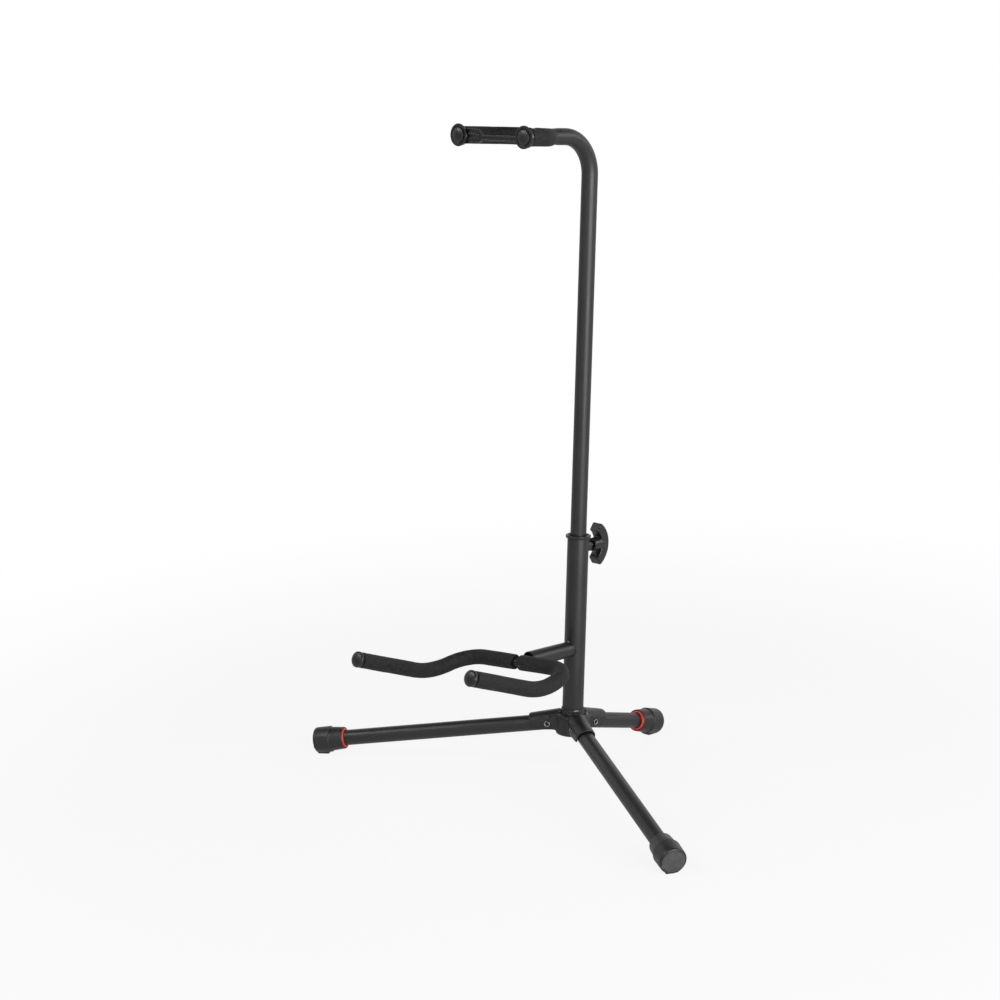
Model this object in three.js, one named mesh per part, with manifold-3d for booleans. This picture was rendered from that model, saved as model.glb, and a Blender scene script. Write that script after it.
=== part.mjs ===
// Guitar stand: a tubular tripod with a foam-covered body cradle and neck cradle.
// Millimetres, +Z up, the cradles face -Y. The upright is built straight up from the
// point where the leg axes meet, then leaned back until all three feet stand level.
import * as THREE from 'three';
import { mergeVertices } from 'three/addons/utils/BufferGeometryUtils.js';
import Module from 'manifold-3d';

const wasm = await Module();
wasm.setup();

// Clearances and cuts
const seatGap = 0.3;
const slideGap = 0.35;
const overrun = 30;
const weldTolerance = 1e-5;

// Facets
const roundSides = 24;
const boreSides = 18;
const smallSides = 12;
const cornerSteps = 3;
const bendSteps = 7;
const levelSteps = 8;

// Tubes
const tubeDiameter = 19.05;
const tubeWall = 1.2;
const postDiameter = 25.4;
const postWall = 1.5;

// Heights along the upright, from the point where the leg axes meet
const postFoot = -4;
const postTop = 223.2;
const clampHeight = 212;
const socketHeight = 88.8;
const neckHeight = 691;
const insertedLength = 120;

// Tripod
const frontSlope = THREE.MathUtils.degToRad(10.5);
const rearSlope = THREE.MathUtils.degToRad(12);
const frontTurn = THREE.MathUtils.degToRad(61.5);
const frontReach = 332;
const rearReach = 161;
const pivotReach = 28.5;
const legTail = 7;

// Hub
const coreRadius = 20.5;
const coreBottom = -17;
const coreShoulder = 3;
const coreRounding = 3;
const domeTop = 9.5;
const armWall = 2.2;
const armReach = 54;
const armTailRoom = 4;
const armSkirtDrop = 12;
const armMouthDrop = 6;
const armMouthCut = 8.5;
const skirtFillet = 7;
const boltPocketRadius = 9.5;
const boltPocketDepth = 5.8;

// Leg rivets
const rivetBore = 4;
const rivetDiameter = 5.6;
const rivetHead = 7;
const rivetHeadHeight = 0.8;

// Feet
const footLength = 38.5;
const footEndWall = 6;
const footMouth = 26.8;
const footMouthLip = 0.9;
const footSleeve = 29.6;
const footBand = 32.2;
const footBandLength = 20;
const footEnd = 31.2;
const footStep = 0.9;
const footRounding = 2.6;
const soleDrop = 0.3;
const soleSpare = 1.2;
const soleWidth = 10;
const soleShoulder = 23;
const soleHeel = 2.4;
const soleToe = 5;
const ringDiameter = 24.2;
const ringNose = 21.2;
const ringProud = 1;
const ringRecess = 1.7;
const ringSeat = 2.5;

// Collar, plug, bolt and washer at the foot of the upright
const collarBottom = 6.5;
const collarTop = 15.4;
const collarWall = 0.9;
const collarSwell = 1.6;
const collarLip = 2.2;
const plugTop = 14;
const boltDiameter = 6;
const boltHead = 10;
const boltHeadHeight = 4;
const washerDiameter = 16;
const washerThickness = 1.2;

// Bush in the mouth of the lower tube, and the bush on the end of the upper tube
const lipDiameter = 30;
const lipHeight = 3.8;
const lipSeat = 27.6;
const lipFunnel = 2.2;
const lipFunnelDepth = 5;
const bushLength = 28;
const slideBushLength = 22;
const slideBushSpigot = 14;
const slideBushWall = 1.6;

// Height clamp
const nutDiameter = 14;
const nutHeight = 5.5;
const studDiameter = 6;
const padDiameter = 6.4;
const padThickness = 2.2;
const knobHubStart = 23.3;
const knobHubEnd = 42;
const knobHubDiameter = 15.9;
const knobRecess = 7;
const knobRecessDiameter = 10.5;
const knobWidth = 14.2;
const knobOuterSpan = 50.8;
const knobOuterEdge = 33.8;
const knobBack = 48;
const knobInnerSpan = 33;
const knobInnerEdge = 27.6;
const knobInside = 35.8;

// Body cradle
const socketDiameter = 19.05;
const socketWall = 1.5;
const socketEnd = 80.5;
const yokeTurn = THREE.MathUtils.degToRad(5.1);
const yokeRodDiameter = 9.5;
const yokeFoamDiameter = 18;
const yokeStemDiameter = 8.4;
const yokeStemInner = 38;
const yokeBushLength = 34;
const yokeBushInset = 6;
const yokeBarForward = 98.3;
const yokeBarHalf = 81.5;
const yokeDipForward = 154.4;
const yokeDipDrop = 13;
const yokeProngHalf = 90.2;
const yokeEndForward = 270;
const yokeEndRise = 24;
const yokeCornerBend = 33.5;
const yokeDipBend = 99;
const yokeFoamHalfGap = 4.8;
const yokeCapDiameter = 18.4;
const yokeCapLength = 6;
const yokeCapDome = 3.2;
const yokeCapGroove = 1.2;
const yokeCapGrip = 3;

// Neck cradle
const neckBend = 43.7;
const swageLength = 30;
const swageDiameter = 15.4;
const neckTubeEnd = 86.5;
const forkPlugLength = 14;
const forkPlugDiameter = 12.8;
const forkRodDiameter = 8;
const forkBarForward = 97;
const forkHalfWidth = 48;
const forkSplay = 1.5;
const forkCornerBend = 44;
const neckFoamDiameter = 19.4;
const neckFoamHalfGap = 4.6;
const buttonFace = 167.3;
const buttonDiameter = 25;
const buttonFlange = 4.2;
const buttonDome = 17;
const buttonDomeRise = 1.6;
const buttonGroove = 1.1;
const buttonPostDiameter = 13;
const buttonPostLength = 7.5;

// Neck strap
const strapThickness = 2.6;
const strapBandWidth = 6.8;
const strapBandDrop = 1.6;
const strapTabWidth = 15.8;
const strapTabStart = 8;
const strapTabLength = 25.5;
const strapShoulder = 6.5;
const strapEye = 21;
const strapHole = 15.4;
const strapRibWidth = 1.5;
const strapRibHeight = 1;
const strapInnerRib = 1.9;

// Boolean helpers

function solidOf(geometry) {
  const bare = new THREE.BufferGeometry();
  bare.setAttribute('position', geometry.getAttribute('position'));
  bare.setIndex(geometry.getIndex());
  const welded = mergeVertices(bare, weldTolerance);
  const index = welded.getIndex().array;
  const corners = [];
  for (let first = 0; first < index.length; first += 3) {
    const [a, b, c] = index.subarray(first, first + 3);
    if (a !== b && b !== c && c !== a) corners.push(a, b, c);
  }
  return new wasm.Manifold(new wasm.Mesh({
    numProp: 3,
    vertProperties: new Float32Array(welded.getAttribute('position').array),
    triVerts: new Uint32Array(corners),
  }));
}

function geometryOf(solid) {
  const mesh = solid.getMesh();
  const geometry = new THREE.BufferGeometry();
  geometry.setAttribute('position', new THREE.BufferAttribute(mesh.vertProperties, 3));
  geometry.setIndex(new THREE.BufferAttribute(mesh.triVerts, 1));
  geometry.computeVertexNormals();
  return geometry;
}

function cut(body, ...cutters) {
  return geometryOf(cutters.reduce((solid, cutter) => solid.subtract(solidOf(cutter)), solidOf(body)));
}

function join(...bodies) {
  return geometryOf(bodies.map(solidOf).reduce((solid, other) => solid.add(other)));
}

function common(body, other) {
  return geometryOf(solidOf(body).intersect(solidOf(other)));
}

// Turned pieces

const along = {
  x: (geometry) => geometry.rotateZ(-Math.PI / 2),
  y: (geometry) => geometry,
  z: (geometry) => geometry.rotateX(Math.PI / 2),
  forward: (geometry) => geometry.rotateZ(Math.PI),
};

// A turned body: the outline holds [distance along the axis, radius] pairs.
function turned(outline, axis = 'z', sides = roundSides) {
  const points = outline.map(([distance, radius]) => new THREE.Vector2(radius, distance));
  if (THREE.ShapeUtils.isClockWise(points)) points.reverse();
  return along[axis](new THREE.LatheGeometry(points, sides));
}

// A turned sleeve closes its outline on itself.
function sleeve(outline, axis, sides) {
  return turned([...outline, outline[0]], axis, sides);
}

function bar(start, end, diameter, axis = 'z', sides = smallSides) {
  const radius = diameter / 2;
  return turned([[start, 0], [start, radius], [end, radius], [end, 0]], axis, sides);
}

function pipe(start, end, outer, inner, axis = 'z', sides = roundSides) {
  return sleeve([
    [start, inner / 2],
    [start, outer / 2],
    [end, outer / 2],
    [end, inner / 2],
  ], axis, sides);
}

// Points of a quarter round from one [distance, radius] pair to another, bulging outwards.
function quarterRound([startDistance, startRadius], [endDistance, endRadius], steps = cornerSteps) {
  const points = [];
  for (let step = 0; step <= steps; step += 1) {
    const angle = (step / steps) * (Math.PI / 2);
    points.push([
      startDistance + (endDistance - startDistance) * Math.sin(angle),
      endRadius + (startRadius - endRadius) * Math.cos(angle),
    ]);
  }
  return points;
}

// Flat-drawn pieces

function shapeOf(points) {
  return new THREE.Shape(points.map(([across, up]) => new THREE.Vector2(across, up)));
}

function rectangle(left, right, low, high) {
  return shapeOf([[left, low], [right, low], [right, high], [left, high]]);
}

const facing = {
  x: (geometry, start) => geometry.rotateX(Math.PI / 2).rotateZ(Math.PI / 2).translate(start, 0, 0),
  y: (geometry, start, end) => geometry.rotateX(Math.PI / 2).translate(0, end, 0),
  z: (geometry, start) => geometry.translate(0, 0, start),
};

// A slab between two distances along an axis, drawn in the plane square to that axis.
function slab(shape, start, end, axis, sides = boreSides) {
  const geometry = new THREE.ExtrudeGeometry(shape, {
    depth: end - start,
    curveSegments: sides / 2,
    bevelEnabled: false,
  });
  return facing[axis](geometry, start, end);
}

// Bent rods and tubes: straight runs joined by arcs, with stations only where they bend

function bendStations(before, corner, after, radius) {
  const back = before.clone().sub(corner).normalize();
  const on = after.clone().sub(corner).normalize();
  const halfAngle = back.angleTo(on) / 2;
  const middle = back.clone().add(on).normalize();
  const centre = corner.clone().addScaledVector(middle, radius / Math.sin(halfAngle));
  const first = corner.clone().addScaledVector(back, radius / Math.tan(halfAngle)).sub(centre);
  const last = corner.clone().addScaledVector(on, radius / Math.tan(halfAngle)).sub(centre);
  const axis = first.clone().cross(last).normalize();
  const sweep = first.angleTo(last);
  const steps = Math.max(2, Math.round((bendSteps * sweep) / (Math.PI / 2)));
  return Array.from({ length: steps + 1 }, (_, step) => (
    centre.clone().add(first.clone().applyAxisAngle(axis, (sweep * step) / steps))
  ));
}

class RodPath extends THREE.Curve {
  constructor(stations) {
    super();
    this.stations = stations;
  }

  static bent(corners, bends) {
    const arcs = bends.map((radius, at) => (
      bendStations(corners[at], corners[at + 1], corners[at + 2], radius)
    ));
    return new RodPath([corners[0], ...arcs.flat(), corners[corners.length - 1]]);
  }

  getUtoTmapping(share) {
    return share;
  }

  getPoint(share, target = new THREE.Vector3()) {
    const place = share * (this.stations.length - 1);
    const index = Math.min(Math.floor(place), this.stations.length - 2);
    return target.lerpVectors(this.stations[index], this.stations[index + 1], place - index);
  }

  // The direction at a station halves the angle between its two neighbours.
  getTangent(share, target = new THREE.Vector3()) {
    const last = this.stations.length - 1;
    const index = Math.round(share * last);
    const here = this.stations[index];
    const ahead = this.stations[Math.min(index + 1, last)].clone().sub(here).normalize();
    const behind = here.clone().sub(this.stations[Math.max(index - 1, 0)]).normalize();
    return target.copy(ahead).add(behind).normalize();
  }

  // Distance along the path of every station.
  distances() {
    let travelled = 0;
    return this.stations.map((station, index) => {
      if (index > 0) travelled += station.distanceTo(this.stations[index - 1]);
      return travelled;
    });
  }

  length() {
    return this.distances().at(-1);
  }

  at(distance) {
    const marks = this.distances();
    const next = Math.max(1, marks.findIndex((mark) => mark >= distance));
    const share = (distance - marks[next - 1]) / (marks[next] - marks[next - 1]);
    return this.stations[next - 1].clone().lerp(this.stations[next], share);
  }

  part(from, to) {
    const marks = this.distances();
    const between = this.stations.filter((_, index) => (
      marks[index] > from + seatGap && marks[index] < to - seatGap
    ));
    return new RodPath([this.at(from), ...between, this.at(to)]);
  }

  mirrored() {
    return new RodPath(this.stations.map(({ x, y, z }) => new THREE.Vector3(-x, y, z)));
  }
}

function ringShape(outer, inner) {
  const shape = new THREE.Shape().absarc(0, 0, outer / 2, 0, Math.PI * 2);
  if (inner > 0) shape.holes.push(new THREE.Path().absarc(0, 0, inner / 2, 0, Math.PI * 2, true));
  return shape;
}

function swept(path, outer, inner, sides = smallSides) {
  return new THREE.ExtrudeGeometry(ringShape(outer, inner), {
    steps: path.stations.length - 1,
    curveSegments: sides / 2,
    extrudePath: path,
  });
}

// Sizes that follow from the driving ones

const legs = [
  { name: 'front_left', turn: -Math.PI / 2 - frontTurn, reach: frontReach, slope: frontSlope },
  { name: 'front_right', turn: -Math.PI / 2 + frontTurn, reach: frontReach, slope: frontSlope },
  { name: 'rear', turn: Math.PI / 2, reach: rearReach, slope: rearSlope },
].map((leg) => ({ ...leg, length: leg.reach - pivotReach / Math.cos(leg.slope) }));
const channelWidth = tubeDiameter + 2 * seatGap;
const armWidth = channelWidth + 2 * armWall;
const tailSwing = Math.hypot(legTail, tubeDiameter / 2) + seatGap;
const channelStart = pivotReach - tailSwing;
const collarInner = postDiameter + 2 * seatGap;
const collarOuter = collarInner + 2 * collarSwell;
const postSeat = postDiameter + 2 * seatGap;
const clampBore = padDiameter + 2 * seatGap;
const boltSeat = coreBottom + boltPocketDepth - seatGap - washerThickness;
const footBore = tubeDiameter + 2 * seatGap;
const tubeFoot = postTop - insertedLength;
const padBack = tubeDiameter / 2 + seatGap + padThickness;
const buttonBack = buttonFlange + buttonPostLength;

// Height of a leg's axis at a distance from the upright.
function legAxisAt(leg, distance) {
  return -distance * Math.tan(leg.slope);
}

// Place of a leg: its own frame starts at the pivot and runs outwards along +X.
function legFrame(leg) {
  return new THREE.Matrix4().makeRotationZ(leg.turn)
    .multiply(new THREE.Matrix4().makeTranslation(pivotReach, 0, legAxisAt(leg, pivotReach)))
    .multiply(new THREE.Matrix4().makeRotationY(leg.slope));
}

// Height of a foot's sole once the upright leans back.
function soleHeight(leg, leanBack) {
  const frame = new THREE.Matrix4().makeRotationX(-leanBack).multiply(legFrame(leg));
  const middle = new THREE.Vector3(leg.length - footBandLength / 2, 0, 0).applyMatrix4(frame);
  const axis = new THREE.Vector3(1, 0, 0).transformDirection(frame);
  return middle.z - (footBand / 2 + soleDrop) * Math.sqrt(1 - axis.z * axis.z);
}

function levelLean() {
  const base = frontReach * Math.cos(frontTurn) + rearReach;
  let leanBack = 0;
  for (let step = 0; step < levelSteps; step += 1) {
    leanBack += Math.atan((soleHeight(legs[2], leanBack) - soleHeight(legs[0], leanBack)) / base);
  }
  return leanBack;
}

const lean = levelLean();
const floorHeight = soleHeight(legs[0], lean);

// Hub: a domed core with three arms, each an arched channel open below

function archShape(width, depth) {
  return new THREE.Shape()
    .moveTo(-width / 2, -depth)
    .lineTo(width / 2, -depth)
    .lineTo(width / 2, 0)
    .absarc(0, 0, width / 2, 0, Math.PI)
    .lineTo(-width / 2, -depth);
}

// A long arch whose round top falls along the roof of an arm.
function archBar(width, depth) {
  const start = armTailRoom + seatGap;
  const fall = start + armReach * Math.tan(frontSlope) - seatGap;
  return slab(archShape(width, depth), 0, armReach + overrun, 'x')
    .rotateY(Math.atan2(fall, armReach))
    .translate(0, 0, start);
}

// Side view of an arm: skirt edge below, mouth cut back towards the floor.
function armSide() {
  const mouthLow = armReach - armMouthCut;
  return slab(shapeOf([
    [0, -armSkirtDrop],
    [coreRadius, -armSkirtDrop],
    [mouthLow, -mouthLow * Math.tan(frontSlope) - armMouthDrop],
    [armReach, armWidth / 2 - armReach * Math.tan(frontSlope)],
    [armReach, overrun],
    [0, overrun],
  ]), -armWidth, armWidth, 'y');
}

// Plan of an arm below its arch, with a fillet on either side where it leaves the core.
function armPlan() {
  const half = armWidth / 2;
  const filletAt = half + skirtFillet;
  const across = Math.sqrt((coreRadius + skirtFillet) ** 2 - filletAt ** 2);
  const swing = Math.atan2(filletAt, across);
  return new THREE.Shape()
    .moveTo(0, 0)
    .absarc(across, -filletAt, skirtFillet, Math.PI - swing, Math.PI / 2, true)
    .lineTo(armReach, -half)
    .lineTo(armReach, half)
    .absarc(across, filletAt, skirtFillet, -Math.PI / 2, swing - Math.PI, true)
    .lineTo(0, 0);
}

function armGeometry() {
  const arch = common(archBar(armWidth, overrun), armSide());
  const skirt = slab(armPlan(), -armSkirtDrop, coreShoulder, 'z', roundSides);
  const inward = bar(coreBottom, coreShoulder, 2 * (coreRadius + skirtFillet), 'z', roundSides);
  return join(arch, common(skirt, inward));
}

function channelGeometry() {
  const room = slab(
    rectangle(-channelWidth, channelWidth, -2 * overrun, 2 * overrun),
    channelStart, armReach + overrun, 'x',
  );
  return common(archBar(channelWidth, 2 * overrun), room);
}

// Rounder roof over the pivot, under which the tail of a leg swings as the leg folds.
function swingGeometry(leg) {
  const end = pivotReach + legTail;
  const roof = bar(channelStart, end, 2 * tailSwing, 'x', roundSides)
    .translate(0, 0, legAxisAt(leg, pivotReach));
  const half = channelWidth / 2;
  return common(roof, slab(rectangle(-half, half, -overrun, overrun), channelStart, end, 'x'));
}

function hubGeometry() {
  const core = turned([
    [coreBottom, 0],
    ...quarterRound([coreBottom + coreRounding, coreRadius], [coreBottom, coreRadius - coreRounding])
      .reverse(),
    ...quarterRound([coreShoulder, coreRadius], [domeTop, coreRadius + coreShoulder - domeTop]),
    [domeTop, 0],
  ]);
  const onLeg = (shape) => legs.map((leg) => shape(leg).rotateZ(leg.turn));
  const rivetHole = (leg) => bar(-armWidth, armWidth, rivetDiameter + 2 * seatGap, 'y')
    .translate(pivotReach, 0, legAxisAt(leg, pivotReach));
  return cut(
    join(core, ...onLeg(armGeometry)),
    ...onLeg(channelGeometry),
    ...onLeg(swingGeometry),
    ...onLeg(rivetHole),
    bar(postFoot - seatGap, overrun, postSeat, 'z', roundSides),
    bar(collarBottom - seatGap, overrun, collarOuter + 2 * seatGap, 'z', roundSides),
    bar(coreBottom - overrun, overrun, boltDiameter + 2 * seatGap),
    bar(coreBottom - overrun, coreBottom + boltPocketDepth, 2 * boltPocketRadius, 'z', boreSides),
  );
}

function collarGeometry() {
  const inner = collarInner / 2;
  return sleeve([
    [collarBottom, inner],
    ...quarterRound(
      [collarBottom, inner + collarWall], [collarBottom + collarLip / 2, inner + collarSwell],
    ),
    [collarBottom + collarLip, inner + collarSwell],
    [collarTop - collarLip / 2, inner + collarWall],
    [collarTop, inner + collarWall / 2],
    [collarTop, inner],
  ]);
}

function plugGeometry() {
  const outer = postDiameter - 2 * postWall - 2 * seatGap;
  return pipe(postFoot, plugTop, outer, boltDiameter + 2 * seatGap, 'z', boreSides);
}

function boltGeometry() {
  const head = new THREE.CylinderGeometry(boltHead / 2, boltHead / 2, boltHeadHeight, 6)
    .rotateX(Math.PI / 2)
    .translate(0, 0, boltSeat - seatGap - boltHeadHeight / 2);
  return join(head, bar(boltSeat - boltHeadHeight, plugTop - postWall, boltDiameter));
}

function washerGeometry() {
  const bore = boltDiameter + 2 * seatGap;
  return pipe(boltSeat, boltSeat + washerThickness, washerDiameter, bore, 'z', boreSides);
}

// Legs, rivets, feet and rings, each in the frame of its leg

function legTubeGeometry(leg) {
  const end = leg.length - footEndWall - seatGap;
  const tube = pipe(-legTail, end, tubeDiameter, tubeDiameter - 2 * tubeWall, 'x');
  return cut(tube, bar(-tubeDiameter, tubeDiameter, rivetDiameter + 2 * seatGap, 'y'));
}

function rivetGeometry() {
  const seat = armWidth / 2 + seatGap;
  const crest = seat + rivetHeadHeight;
  const edge = crest - rivetHeadHeight / 2;
  const rolled = (rivetBore + rivetHead) / 4;
  return sleeve([
    [-edge, rivetBore / 2],
    [-crest, rolled],
    [-edge, rivetHead / 2],
    [-seat, rivetHead / 2],
    [-seat, rivetDiameter / 2],
    [seat, rivetDiameter / 2],
    [seat, rivetHead / 2],
    [edge, rivetHead / 2],
    [crest, rolled],
    [edge, rivetBore / 2],
  ], 'y', smallSides);
}

// Pad under a foot: narrower downwards and chamfered at both ends.
function soleGeometry(leg) {
  const high = -footBand / 4;
  const deep = -footBand / 2 - soleDrop - soleSpare;
  const start = leg.length - footBandLength;
  const side = shapeOf([
    [start - footStep, high],
    [start + soleToe, deep],
    [leg.length - soleHeel, deep],
    [leg.length, high],
  ]);
  const front = shapeOf([
    [-soleShoulder / 2, high],
    [-soleWidth / 2, deep],
    [soleWidth / 2, deep],
    [soleShoulder / 2, high],
  ]);
  return common(slab(side, -footBand, footBand, 'y'), slab(front, 0, leg.length + overrun, 'x'));
}

function footGeometry(leg) {
  const end = leg.length;
  const mouth = end - footLength;
  const bandStart = end - footBandLength;
  const ringEnd = mouth + ringRecess + ringSeat;
  const ringRoom = ringDiameter / 2 + seatGap;
  const shell = turned([
    [end - footEndWall, 0],
    [end - footEndWall, footBore / 2],
    [ringEnd, footBore / 2],
    [ringEnd, ringRoom],
    [mouth + ringRecess, ringRoom],
    [mouth, footMouth / 2 - footMouthLip / 2],
    [mouth + footMouthLip, footMouth / 2],
    [bandStart - footStep, footSleeve / 2],
    [bandStart, footBand / 2],
    ...quarterRound([end - footRounding, footEnd / 2], [end, footEnd / 2 - footRounding]),
    [end, 0],
  ], 'x');
  const room = bar(0, end - footEndWall, footBore, 'x', roundSides);
  const size = 2 * (frontReach + footBand);
  const floor = new THREE.BoxGeometry(size, size, size).translate(0, 0, floorHeight - size / 2);
  const frame = new THREE.Matrix4().makeRotationX(-lean).multiply(legFrame(leg));
  return cut(join(shell, soleGeometry(leg)), room, floor.applyMatrix4(frame.invert()));
}

// The ring closes the mouth: its face slopes down to the leg tube.
function footRingGeometry(leg) {
  const mouth = leg.length - footLength;
  const end = mouth + ringRecess + ringSeat - seatGap;
  return sleeve([
    [end, footBore / 2],
    [mouth - ringProud, footBore / 2],
    ...quarterRound([mouth + ringRecess, ringDiameter / 2], [mouth - ringProud, ringNose / 2], 2).reverse(),
    [end, ringDiameter / 2],
  ], 'x');
}

// Upright

function lowerTubeGeometry() {
  const tube = pipe(postFoot, postTop, postDiameter, postDiameter - 2 * postWall);
  return cut(tube, bar(0, postDiameter, clampBore, 'y').translate(0, 0, clampHeight));
}

function topBushGeometry() {
  const inner = tubeDiameter / 2 + slideGap;
  const outer = postDiameter / 2 - postWall - seatGap;
  const seat = postTop + seatGap;
  const top = seat + lipHeight;
  const lip = lipDiameter / 2;
  const funnel = inner + lipFunnel;
  const roll = (lip - funnel) / 2;
  const bush = sleeve([
    [postTop - bushLength, inner],
    [top - lipFunnelDepth, inner],
    ...quarterRound([top - roll, funnel], [top, funnel + roll], 2).filter(([, radius]) => radius < lip),
    ...quarterRound([top, funnel + roll], [top - roll, lip]).slice(1),
    [seat, lipSeat / 2],
    [seat, outer],
    [postTop - bushLength, outer],
  ]);
  return cut(bush, bar(0, postDiameter, clampBore, 'y').translate(0, 0, clampHeight));
}

// The end that holds the neck cradle is swaged down.
function upperTubeGeometry() {
  const bent = RodPath.bent([
    new THREE.Vector3(0, 0, tubeFoot),
    new THREE.Vector3(0, 0, neckHeight),
    new THREE.Vector3(0, -neckTubeEnd, neckHeight),
  ], [neckBend]);
  const swageStart = new THREE.Vector3(0, swageLength - neckTubeEnd, neckHeight);
  const path = new RodPath([...bent.stations.slice(0, -1), swageStart, bent.stations.at(-1)]);
  const tube = swept(path, tubeDiameter, tubeDiameter - 2 * tubeWall, roundSides);
  const position = tube.getAttribute('position');
  for (let index = 0; index < position.count; index += 1) {
    const past = swageStart.y - position.getY(index);
    if (past > 0) {
      const narrowedShare = 1 - (past / swageLength) * (1 - swageDiameter / tubeDiameter);
      position.setX(index, position.getX(index) * narrowedShare);
      position.setZ(index, neckHeight + (position.getZ(index) - neckHeight) * narrowedShare);
    }
  }
  return tube;
}

function slideBushGeometry() {
  const spigot = tubeDiameter / 2 - tubeWall - seatGap;
  const flange = tubeFoot - seatGap;
  const bottom = flange - slideBushLength + slideBushSpigot;
  return sleeve([
    [bottom, spigot - slideBushWall],
    [bottom, postDiameter / 2 - postWall - slideGap],
    [flange, postDiameter / 2 - postWall - slideGap],
    [flange, spigot],
    [flange + slideBushSpigot, spigot],
    [flange + slideBushSpigot, spigot - slideBushWall],
  ]);
}

// Clamp: distances run backwards from the axis of the upright

function nutGeometry() {
  const bore = studDiameter + 2 * seatGap;
  const nut = pipe(0, postDiameter / 2 + nutHeight, nutDiameter, bore, 'y', boreSides)
    .translate(0, 0, clampHeight);
  return cut(nut, bar(clampHeight - overrun, clampHeight + overrun, postSeat, 'z', roundSides));
}

function padGeometry() {
  return bar(padBack - padThickness, padBack, padDiameter, 'y').translate(0, 0, clampHeight);
}

function studGeometry() {
  return bar(padBack + seatGap, knobInside, studDiameter, 'y').translate(0, 0, clampHeight);
}

// Arc over a span, as [distance back, height] pairs from its upper to its lower end.
function crescentArc(edge, apex, span) {
  const rise = apex - edge;
  const radius = ((span / 2) ** 2 + rise ** 2) / (2 * rise);
  const halfAngle = Math.asin(span / 2 / radius);
  return Array.from({ length: boreSides + 1 }, (_, step) => {
    const angle = halfAngle * (1 - (2 * step) / boreSides);
    return [apex - radius + radius * Math.cos(angle), radius * Math.sin(angle)];
  });
}

function knobGeometry() {
  const outline = shapeOf([
    ...crescentArc(knobOuterEdge, knobBack, knobOuterSpan),
    ...crescentArc(knobInnerEdge, knobInside, knobInnerSpan).reverse(),
  ]);
  const wing = slab(outline, -knobWidth / 2, knobWidth / 2, 'x');
  const hub = bar(knobHubStart, knobHubEnd, knobHubDiameter, 'y', roundSides);
  const recess = bar(knobHubStart - overrun, knobHubStart + knobRecess, knobRecessDiameter, 'y', boreSides);
  const grip = bar(knobHubStart, knobInside + seatGap, studDiameter + 2 * seatGap, 'y');
  return cut(join(wing, hub), recess, grip).translate(0, 0, clampHeight);
}

// Body cradle, drawn with its bar level; the yoke is then turned in its socket

function socketGeometry() {
  const tube = pipe(0, socketEnd, socketDiameter, socketDiameter - 2 * socketWall, 'forward');
  return cut(
    tube.translate(0, 0, socketHeight),
    bar(socketHeight - overrun, socketHeight + overrun, postSeat, 'z', roundSides),
  );
}

function yokeBushGeometry() {
  const end = socketEnd - yokeBushInset;
  const outer = socketDiameter - 2 * socketWall - 2 * seatGap;
  const inner = yokeStemDiameter + 2 * slideGap;
  return pipe(end - yokeBushLength, end, outer, inner, 'forward', boreSides).translate(0, 0, socketHeight);
}

// Right half of each cradle, from the middle of its bar to the end of its prong.
const yokeRight = RodPath.bent([
  new THREE.Vector3(0, -yokeBarForward, 0),
  new THREE.Vector3(yokeBarHalf, -yokeBarForward, 0),
  new THREE.Vector3(yokeProngHalf, -yokeDipForward, -yokeDipDrop),
  new THREE.Vector3(yokeProngHalf, -yokeEndForward, yokeEndRise),
], [yokeCornerBend, yokeDipBend]);
const forkRight = RodPath.bent([
  new THREE.Vector3(0, -forkBarForward, 0),
  new THREE.Vector3(forkHalfWidth, -forkBarForward, 0),
  new THREE.Vector3(forkHalfWidth + forkSplay, -buttonFace, 0),
], [forkCornerBend]);
const halves = (right) => Object.entries({ right, left: right.mirrored() });

function wholeRod(half, stopBefore, diameter) {
  const right = half.part(0, half.length() - stopBefore);
  const left = right.mirrored().stations.slice(1).reverse();
  return swept(new RodPath([...left, ...right.stations]), diameter, 0);
}

function yokeRodGeometry() {
  const rod = wholeRod(yokeRight, yokeCapLength - yokeCapGrip + seatGap, yokeRodDiameter);
  return join(rod, bar(yokeStemInner, yokeBarForward, yokeStemDiameter, 'forward'));
}

function yokeFoamGeometry(half) {
  const sleeved = half.part(yokeFoamHalfGap, half.length() - yokeCapLength - yokeCapGroove);
  return swept(sleeved, yokeFoamDiameter, yokeRodDiameter + 2 * seatGap);
}

// A turned piece on the end of a prong: its outline starts at the tip and runs inwards.
function onTip(half, outline) {
  const [inner, tip] = half.stations.slice(-2);
  const inwards = inner.clone().sub(tip).normalize();
  const turn = new THREE.Quaternion().setFromUnitVectors(new THREE.Vector3(0, 0, 1), inwards);
  return turned(outline).applyQuaternion(turn).translate(tip.x, tip.y, tip.z);
}

function yokeCapGeometry(half) {
  const bore = yokeRodDiameter / 2 + seatGap;
  return onTip(half, [
    ...quarterRound([yokeCapDome, yokeCapDiameter / 2], [0, 0]).reverse(),
    [yokeCapLength, yokeCapDiameter / 2],
    [yokeCapLength, bore],
    [yokeCapLength - yokeCapGrip, bore],
    [yokeCapLength - yokeCapGrip, 0],
  ]);
}

// Neck cradle

function neckForkGeometry() {
  const plugStart = neckTubeEnd - forkPlugLength;
  return join(
    wholeRod(forkRight, buttonFlange, forkRodDiameter),
    bar(plugStart, forkBarForward, forkRodDiameter, 'forward'),
    bar(plugStart, neckTubeEnd, forkPlugDiameter, 'forward', boreSides),
  );
}

function neckFoamGeometry(half) {
  const sleeved = half.part(neckFoamHalfGap, half.length() - buttonBack - seatGap);
  return swept(sleeved, neckFoamDiameter, forkRodDiameter + 2 * seatGap);
}

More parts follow.
